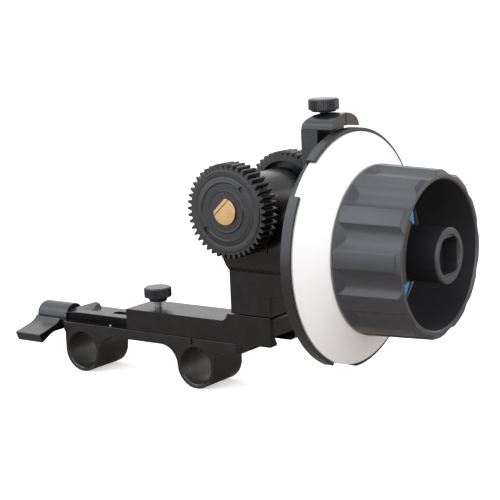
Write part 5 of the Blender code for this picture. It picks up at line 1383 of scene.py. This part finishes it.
@dataclass
class MarkingDisc:
    """The carrier, the white cone that is written on, and its two retainers."""

    bore: float = 4.15 * MM
    core: float = 8.0 * MM
    hub: float = 12.0 * MM
    well: float = 21.0 * MM
    boss: float = 24.0 * MM
    carrier_back: float = 93.0 * MM
    carrier_front: float = 109.4 * MM
    carrier_facets: int = 192
    plate: Span = (94.6 * MM, 96.9 * MM)
    plate_radius: float = 40.4 * MM
    retainer: Span = (97.2 * MM, 101.2 * MM)
    retainer_outer: float = 44.6 * MM
    retainer_edge: float = 0.2 * MM
    retainer_step: float = 1.5
    band: float = 1.1 * MM
    flange: float = 0.9 * MM
    flange_reach: float = 7.1 * MM
    spans: tuple[tuple[str, float, float], ...] = (("long", -93.0, 126.3), ("short", 146.5, 245.5))
    disc_back: float = 98.4 * MM
    disc_edge: float = 101.9 * MM
    disc_front: float = 109.4 * MM
    disc_radius: float = 43.2 * MM
    disc_top: float = 31.5 * MM
    disc_hole: float = 24.15 * MM
    disc_rim: float = 0.35 * MM
    disc_facets: int = 256
    disc_crease: float = 20
    wall: float = 2.4 * MM

    def carrier(self) -> None:
        """Build the carrier."""
        back, front = self.plate
        profile = [(self.bore, self.carrier_front), (self.core, self.carrier_front), (self.core, front),
                   (self.well, front), (self.well, self.carrier_front), (self.boss, self.carrier_front),
                   (self.boss, front), (self.plate_radius, front), (self.plate_radius, back),
                   (self.hub, back), (self.hub, self.carrier_back), (self.bore, self.carrier_back)]
        carrier = Stock.turned(Axis.X, (0, WHEEL_AXIS), profile, self.carrier_facets)
        Piece("disc_carrier_plate", carrier).dress(BLACK_RING, Body.WHEEL, "disc_carrier")

    def cone(self) -> None:
        """Build the white cone, an even wall with a small rounded rim."""
        rise = self.disc_front - self.disc_edge
        inset = self.wall * rise / math.hypot(rise, self.disc_radius - self.disc_top)
        inner = self.disc_radius - self.wall
        under = self.disc_front - self.wall
        profile = [(self.disc_radius, self.disc_edge - self.disc_rim), (self.disc_radius, self.disc_back),
                   (inner, self.disc_back), (inner, self.disc_edge - inset), (self.disc_top - inset, under),
                   (self.disc_hole, under), (self.disc_hole, self.disc_front),
                   (self.disc_top, self.disc_front), (self.disc_radius - self.disc_rim, self.disc_edge)]
        cone = Stock.turned(Axis.X, (0, WHEEL_AXIS), profile, self.disc_facets)
        Piece("marking_cone", cone).dress(DISC_WHITE, Body.WHEEL, "marking_disc", crease=self.disc_crease)

    def retainers(self) -> None:
        """Build the two arcs that hold the cone's rim."""
        start, end = self.retainer
        outer = self.retainer_outer
        edge = self.retainer_edge
        step = start + self.flange
        section = [(outer - edge, start), (outer, start + edge), (outer, end - edge), (outer - edge, end),
                   (outer - self.band, end), (outer - self.band, step), (outer - self.flange_reach, step),
                   (outer - self.flange_reach, start)]
        for label, first, last in self.spans:
            mesh = Stock.swept(section, math.radians(first), math.radians(last),
                               round((last - first) / self.retainer_step), WHEEL_AXIS)
            Piece("disc_retainer_arc_" + label, mesh).dress(BLACK_RING, Body.WHEEL, "disc_retainer_" + label)

    def build(self) -> None:
        """Build the carrier, disc and retainers."""
        self.carrier()
        self.cone()
        self.retainers()


@dataclass
class Handwheel:
    """The fluted bell, the crank socket in it and the inlay in its rim.

    The shares in a flute run from its middle to its edge, and those on a land from there to the land's
    middle. The lip's shares are how far its points lie inside the mouth and short of the front.
    """

    back: float = 109.7 * MM
    length: float = 26.85 * MM
    base: float = 31.7 * MM
    mouth: float = 30.6 * MM
    lip: float = 1.5 * MM
    lip_shares: tuple[Point, ...] = ((0.0, 1.0), (0.06, 0.84), (0.16, 0.70), (0.70, 0.16), (0.84, 0.06),
                                     (1.0, 0.0))
    inner_lip: float = 0.5 * MM
    neck: float = 1.4 * MM
    neck_length: float = 0.7 * MM
    neck_soft: float = 0.3 * MM
    bore: float = 27.2 * MM
    bore_wall: float = 1.2 * MM
    floor: float = 2.6 * MM
    floor_radius: float = 26.4 * MM
    floor_soft: float = 0.3 * MM
    floor_rise: float = 0.4 * MM
    hole: float = 6.6 * MM
    flutes: int = 12
    flute_radius: float = 8.2 * MM
    flute_depth: float = 2.0 * MM
    flute_margin: float = 1.3 * MM
    run_out: float = 3.4 * MM
    run_out_step: float = 0.2 * MM
    run_out_rows: int = 18
    body_rows: tuple[float, ...] = (5.6 * MM, 7.0 * MM, 10.0 * MM, 16.0 * MM)
    mouth_row: float = 4.0 * MM
    lip_row: float = 0.3 * MM
    phase: float = math.radians(11)
    soft: float = 0.30 * MM
    in_flute_shares: tuple[float, ...] = (0.12, 0.25, 0.38, 0.50, 0.62, 0.74, 0.85, 0.93, 0.97, 1.0)
    on_land_shares: tuple[float, ...] = (0.04, 0.10, 0.20, 0.35, 0.55, 0.80)
    missed: float = 0.999
    missed_share: float = 0.3
    socket_radius: float = 10.2 * MM
    socket_edge: float = 0.5 * MM
    socket_gap: float = 0.3 * MM
    socket_front: float = SOCKET_FRONT
    socket_mouth: float = 7.7 * MM
    socket_flare: tuple[float, float] = (1.25 * MM, 0.25 * MM)
    socket_taper: float = 0.3 * MM
    socket_step: float = 0.8 * MM
    socket_flats: float = 6.5 * MM
    socket_corner: float = 3.4 * MM
    socket_floor: float = 133.5 * MM
    socket_facets: int = 160
    screw_head: float = 3.15 * MM
    screw_seat: float = 129.9 * MM
    screw_hole: float = 1.65 * MM
    shaft_end: float = 124.5 * MM
    shaft_hole: float = 4.15 * MM
    shaft_facets: int = 64
    inlay_gap: float = 0.3 * MM
    inlay_depth: float = 3.0 * MM
    pad: Span = (143.5, 192.5)
    pad_thickness: float = 2.3 * MM
    pad_edge: float = 0.2 * MM
    pad_steps: int = 32
    accents: tuple[tuple[str, float, float], ...] = (("upper", 142.8, 134.5), ("lower", 193.2, 201.5))
    accent_height: float = 3.7 * MM
    accent_edge: float = 0.1 * MM
    accent_tip_share: float = 0.2
    accent_steps: tuple[int, int] = (12, 2)

    @property
    def front(self) -> float:
        """Return the station of the bell's mouth."""
        return self.back + self.length

    @property
    def slope(self) -> float:
        """Return how much the bell narrows in a metre."""
        return (self.base - self.mouth) / self.length

    def reach(self, station: float) -> float:
        """Return the distance of a flute's own axis from the wheel's."""
        return self.mouth - self.flute_depth + self.flute_radius + self.slope * (self.front - station)

    def outer_radius(self, radius: float, station: float, off: float) -> float:
        """Find the bell's radius where a flute may cut it.

        Args:
            radius: Radius of the bell without flutes.
            station: Place along the axis.
            off: Angle from the nearest flute's middle, in radians.

        Returns:
            The lesser of the bell's radius and the flute's floor, eased where they meet.
        """
        start = self.back + self.flute_margin
        reach = self.reach(station)
        under = self.flute_radius ** 2 - (reach * math.sin(off)) ** 2
        if station <= start or under <= 0:
            return radius
        wall = radius - (station - start) * self.flute_depth / self.run_out
        floor = max(reach * math.cos(off) - math.sqrt(under), wall)
        gap = max(self.soft - abs(radius - floor), 0) / self.soft
        return min(radius, floor) - gap * gap * self.soft / 4

    def offsets(self, radius: float, station: float) -> list[float]:
        """Place the points of one flute and the land round it.

        Args:
            radius: Radius of the bell without flutes.
            station: Place along the axis.

        Returns:
            Angles from the flute's middle, close together at its edges.
        """
        reach = self.reach(station)
        cosine = (radius ** 2 + reach ** 2 - self.flute_radius ** 2) / (2 * radius * reach)
        half = math.pi / self.flutes
        edge = math.acos(cosine) if cosine < self.missed else self.missed_share * half
        right = [edge * t for t in self.in_flute_shares]
        right += [edge + (half - edge) * t for t in self.on_land_shares]
        return [-half] + [-off for off in reversed(right)] + [0] + right

    def outer_profile(self) -> Section:
        """Draw the outside of the bell without flutes.

        Returns:
            (radius, station) points, from the back to the mouth.
        """
        stations = [self.back + self.neck_length + self.neck_soft, self.back + self.flute_margin]
        stations += [self.back + self.flute_margin + self.run_out_step * (i + 1)
                     for i in range(self.run_out_rows)]
        stations += [self.back + row for row in self.body_rows]
        stations += [self.front - self.mouth_row, self.front - self.lip - self.lip_row]
        outer = [(self.base - self.neck, self.back), (self.base - self.neck, self.back + self.neck_length),
                 (self.base - self.neck_soft, self.back + self.neck_length)]
        outer += [(self.base - self.slope * (s - self.back), s) for s in stations]
        return outer + [(self.mouth - self.lip * inset, self.front - self.lip * short)
                        for inset, short in self.lip_shares]

    def inner_profile(self) -> Section:
        """Draw the inside of the bell.

        Returns:
            (radius, station) points, from the mouth to the hole in its back.
        """
        floor = self.back + self.floor
        return [(self.bore + self.inner_lip, self.front), (self.bore, self.front - self.inner_lip),
                (self.floor_radius + self.floor_soft, floor + self.floor_rise),
                (self.floor_radius - self.floor_soft, floor), (self.hole, floor), (self.hole, self.back)]

    def bell(self) -> bpy.types.Mesh:
        """Make the fluted bell.

        Returns:
            The closed mesh.
        """
        outer = self.outer_profile()
        rows = []
        for radius, station in outer + self.inner_profile():
            fluted = (radius, station) in outer
            row = []
            for flute in range(self.flutes):
                middle = self.phase + FULL * flute / self.flutes
                for off in self.offsets(max(radius, self.bore + self.bore_wall), station):
                    r = self.outer_radius(radius, station, off) if fluted else radius
                    row.append((station, r * math.cos(middle + off), r * math.sin(middle + off)))
            rows.append(row)
        return Stock.skin(rows, WHEEL_AXIS)

    def socket_hole(self) -> bpy.types.Mesh:
        """Make the cutter of the rounded square hole.

        Returns:
            The closed mesh.
        """
        middle = self.socket_flats - self.socket_corner
        outline = []
        for quarter, (across, up) in enumerate(((1, 1), (-1, 1), (-1, -1), (1, -1))):
            start = quarter * math.pi / 2
            outline += arc((across * middle, WHEEL_AXIS + up * middle), self.socket_corner, start,
                           start + math.pi / 2, ROUND_STEPS)
        return Stock.pushed(Plane.YZ, outline, self.socket_floor, self.socket_front + OVER)

    def socket(self) -> None:
        """Build the crank socket."""
        back = self.back + self.floor + self.socket_gap
        front = self.socket_front
        centre = (0, WHEEL_AXIS)
        profile = [(0, front), (self.socket_radius - self.socket_edge, front),
                   (self.socket_radius, front - self.socket_edge), (self.socket_radius, back), (0, back)]
        step = front - self.socket_step
        wide, deep = self.socket_flare
        mouth = Stock.turned(Axis.X, centre, [
            (0, front + OVER), (self.socket_mouth + wide, front + OVER), (self.socket_mouth, front - deep),
            (self.socket_mouth - self.socket_taper, step), (0, step)])
        bore = Stock.turned(Axis.X, centre, [
            (0, self.socket_floor + OVER), (self.screw_head, self.socket_floor + OVER),
            (self.screw_head, self.screw_seat), (self.screw_hole, self.screw_seat),
            (self.screw_hole, self.shaft_end), (self.shaft_hole, self.shaft_end),
            (self.shaft_hole, back - OVER), (0, back - OVER)], self.shaft_facets)
        hub = Stock.turned(Axis.X, centre, profile, self.socket_facets)
        # The socket's finish paints a highlight on its front rim.
        Piece("crank_socket_hub", hub).cut(mouth, self.socket_hole(), bore).dress(
            BLACK_SOCKET_PAINTED_RIM, Body.WHEEL, "crank_socket")

    def inlay(self) -> None:
        """Build the pad inside the rim and its two accents."""
        outer = self.bore - self.inlay_gap
        front = self.front - self.inner_lip
        back = front - self.inlay_depth
        centre = (0, WHEEL_AXIS)
        start, end = (math.radians(a) for a in self.pad)
        outline = arc(centre, outer, start, end, self.pad_steps)
        outline += arc(centre, outer - self.pad_thickness, end, start, self.pad_steps)
        Piece("rim_pad_inlay", Stock.pushed(Plane.YZ, outline, back, front, self.pad_edge)).dress(
            PAD_GREY, Body.WHEEL, "rim_pad")
        base_steps, tip_steps = self.accent_steps
        for label, near, far in self.accents:
            first, last = math.radians(near), math.radians(far)
            outline = arc(centre, outer, first, last, base_steps)
            outline += arc(centre, outer - self.accent_height, first,
                           first + (last - first) * self.accent_tip_share, tip_steps)[::-1]
            mesh = Stock.pushed(Plane.YZ, outline, back, front, self.accent_edge)
            Piece("rim_accent_inlay_" + label, mesh).dress(ACCENT_BLUE, Body.WHEEL, "rim_accent_" + label)

    def build(self) -> None:
        """Build the bell, socket and inlay."""
        Piece("handwheel_bell", self.bell()).dress(WHEEL_POLYMER, Body.WHEEL, "handwheel")
        self.socket()
        self.inlay()


@dataclass(frozen=True)
class SoftLight:
    """A soft light that faces the object.

    Its place is a direction from the object and a distance, its size a width and a height, and its brightness
    that of its face, where the white world is 1.
    """

    name: str
    towards: tuple[float, float, float]
    distance: float
    size: tuple[float, float]
    brightness: float
    colour: Colour

    def hang(self, middle: Sequence[float]) -> None:
        """Hang the light.

        Args:
            middle: The point that it faces.
        """
        data = bpy.data.lights.new(self.name, "AREA")
        data.shape = "RECTANGLE"
        data.size, data.size_y = self.size
        data.energy = self.brightness * math.pi * self.size[0] * self.size[1]
        data.color = self.colour
        lamp = bpy.data.objects.new(self.name, data)
        away = Vector(self.towards).normalized()
        place = Matrix.Translation(Vector(middle) + away * self.distance)
        lamp.matrix_world = place @ (-away).to_track_quat("-Z", "Y").to_matrix().to_4x4()
        lamp.visible_camera = False
        bpy.context.scene.collection.objects.link(lamp)


@dataclass
class Studio:
    """The pale floor, the soft lights and the camera."""

    floor_drop: float = -9.3 * MM
    floor_reach: float = 40.0
    floor_seen: Colour = (0.92, 0.92, 0.92)
    floor_bounce: Colour = (0.40, 0.35, 0.315)
    floor_lift: float = 0.50
    floor_roughness: float = 0.9
    sky_matt: float = 0.65
    middle: tuple[float, float, float] = (0.06, 0, 0.045)
    camera_place: tuple[float, float, float] = (0.3945, -0.4722, 0.1549)
    azimuth: float = math.radians(35.93)
    elevation: float = math.radians(10.47)
    roll: float = math.radians(-2.44)
    focal_pixels: float = 1523.48
    image_pixels: float = 500.0
    sensor: float = 36.0
    clip: Span = (0.02, 200)
    lights: tuple[SoftLight, ...] = (
        SoftLight("upper_left_light", (-0.577, -0.18, 0.80), 1.0, (1.1, 1.1), 1.1, (0.82, 0.90, 1.0)),
        SoftLight("front_left_light", (-0.577, -0.796, 0.45), 0.55, (0.6, 0.6), 1.7, (0.86, 0.92, 1.0)),
        SoftLight("right_light", (1.0, -0.25, 0.15), 1.0, (0.8, 0.8), 2.8, (1.0, 0.99, 0.97)),
        SoftLight("front_right_light", (0.20, -0.66, 0.72), 1.1, (0.8, 0.8), 1.7, (0.94, 0.97, 1.0)),
        SoftLight("back_right_light", (0.577, 0.796, 0.15), 0.7, (0.8, 0.35), 1.1, (1.0, 0.92, 0.84)),
        SoftLight("back_left_light", (-0.577, 0.70, 0.50), 1.0, (0.9, 0.5), 0.7, (1.0, 0.97, 0.93)))

    def paper(self) -> bpy.types.Material:
        """Make the floor's paper: white to the camera, and a dim warm bounce as light.

        Returns:
            The material, which keeps the object's shadow.
        """
        material = bpy.data.materials.new("floor_paper")
        material.use_nodes = True
        shader = material.node_tree.nodes["Principled BSDF"]
        shader.inputs["Roughness"].default_value = self.floor_roughness
        shader.inputs["Specular IOR Level"].default_value = 0
        sketch = NodeSketch(material.node_tree)
        rays = sketch.add("ShaderNodeLightPath")
        paper = sketch.add("ShaderNodeMix", data_type="RGBA")
        sketch.join(rays.outputs["Is Camera Ray"], paper.inputs["Factor"])
        paper.inputs["A"].default_value = (*self.floor_bounce, 1)
        paper.inputs["B"].default_value = (*self.floor_seen, 1)
        sketch.join(paper.outputs["Result"], shader.inputs["Base Color"])
        lift = sketch.add("ShaderNodeMath", operation="MULTIPLY")
        lift.inputs[1].default_value = self.floor_lift
        sketch.join(rays.outputs["Is Camera Ray"], lift.inputs[0])
        shader.inputs["Emission Color"].default_value = (1, 1, 1, 1)
        sketch.join(lift.outputs["Value"], shader.inputs["Emission Strength"])
        return material

    def floor(self) -> None:
        """Lay the floor."""
        reach = self.floor_reach
        corners = [(-reach, -reach), (reach, -reach), (reach, reach), (-reach, reach)]
        mesh = bpy.data.meshes.new("floor")
        mesh.from_pydata([(x, y, self.floor_drop) for x, y in corners], [], [(0, 1, 2, 3)])
        floor = bpy.data.objects.new("floor", mesh)
        bpy.context.scene.collection.objects.link(floor)
        mesh.materials.append(self.paper())

    def sky(self) -> None:
        """Set the world to plain white, dimmer where matt surfaces gather it."""
        world = bpy.data.worlds.new("studio")
        bpy.context.scene.world = world
        world.use_nodes = True
        background = world.node_tree.nodes["Background"]
        background.inputs["Color"].default_value = (1, 1, 1, 1)
        sketch = NodeSketch(world.node_tree)
        rays = sketch.add("ShaderNodeLightPath")
        seen = sketch.add("ShaderNodeMath", operation="MAXIMUM")
        sketch.join(rays.outputs["Is Camera Ray"], seen.inputs[0])
        sketch.join(rays.outputs["Is Glossy Ray"], seen.inputs[1])
        level = sketch.add("ShaderNodeMapRange")
        level.inputs["To Min"].default_value = self.sky_matt
        level.inputs["To Max"].default_value = 1.0
        sketch.join(seen.outputs["Value"], level.inputs["Value"])
        sketch.join(level.outputs["Result"], background.inputs["Strength"])

    def camera(self) -> None:
        """Stand the camera where the photograph was taken."""
        a, e, r = self.azimuth, self.elevation, self.roll
        back = Vector((math.sin(a) * math.cos(e), -math.cos(a) * math.cos(e), math.sin(e)))
        level = Vector((math.cos(a), math.sin(a), 0))
        upright = back.cross(level)
        right = math.cos(r) * level + math.sin(r) * upright
        up = math.cos(r) * upright - math.sin(r) * level
        data = bpy.data.cameras.new("camera")
        data.sensor_width = self.sensor
        data.lens = self.sensor * self.focal_pixels / self.image_pixels
        data.clip_start, data.clip_end = self.clip
        camera = bpy.data.objects.new("camera", data)
        camera.matrix_world = (Matrix.Translation(self.camera_place)
                               @ Matrix((right, up, back)).transposed().to_4x4())
        bpy.context.scene.collection.objects.link(camera)
        bpy.context.scene.camera = camera

    def build(self) -> None:
        """Set the whole studio."""
        bpy.context.scene.view_settings.view_transform = "Standard"
        self.floor()
        self.sky()
        for light in self.lights:
            light.hang(self.middle)
        self.camera()


def dress_kept_nodes(nodes: dict[str, bpy.types.Object]) -> None:
    """Give the small CAD pieces that stay their finishes.

    Args:
        nodes: The frame's nodes by name.
    """
    for name, finish in KEPT_NODES.items():
        mesh = nodes[name].data
        mesh.materials.clear()
        mesh.materials.append(finish.material())
        mesh.polygons.foreach_set("material_index", [0] * len(mesh.polygons))
        LOG.info("%s keeps its CAD mesh", name)


def main() -> None:
    """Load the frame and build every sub-assembly."""
    logging.basicConfig(level=logging.INFO, format="%(message)s")
    for obj in list(bpy.data.objects):
        bpy.data.objects.remove(obj, do_unlink=True)
    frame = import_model()
    Studio().build()
    makers: list[Callable[[], None]] = [RodClamp().build, ClampLever().build, SlidingBridge().build,
                                        Gearbox().build, DriveGears().build, IndexArm().build,
                                        MarkingDisc().build, Handwheel().build]
    for make in makers:
        make()
    dress_kept_nodes(frame["nodes"])


if __name__ == "__main__":
    main()
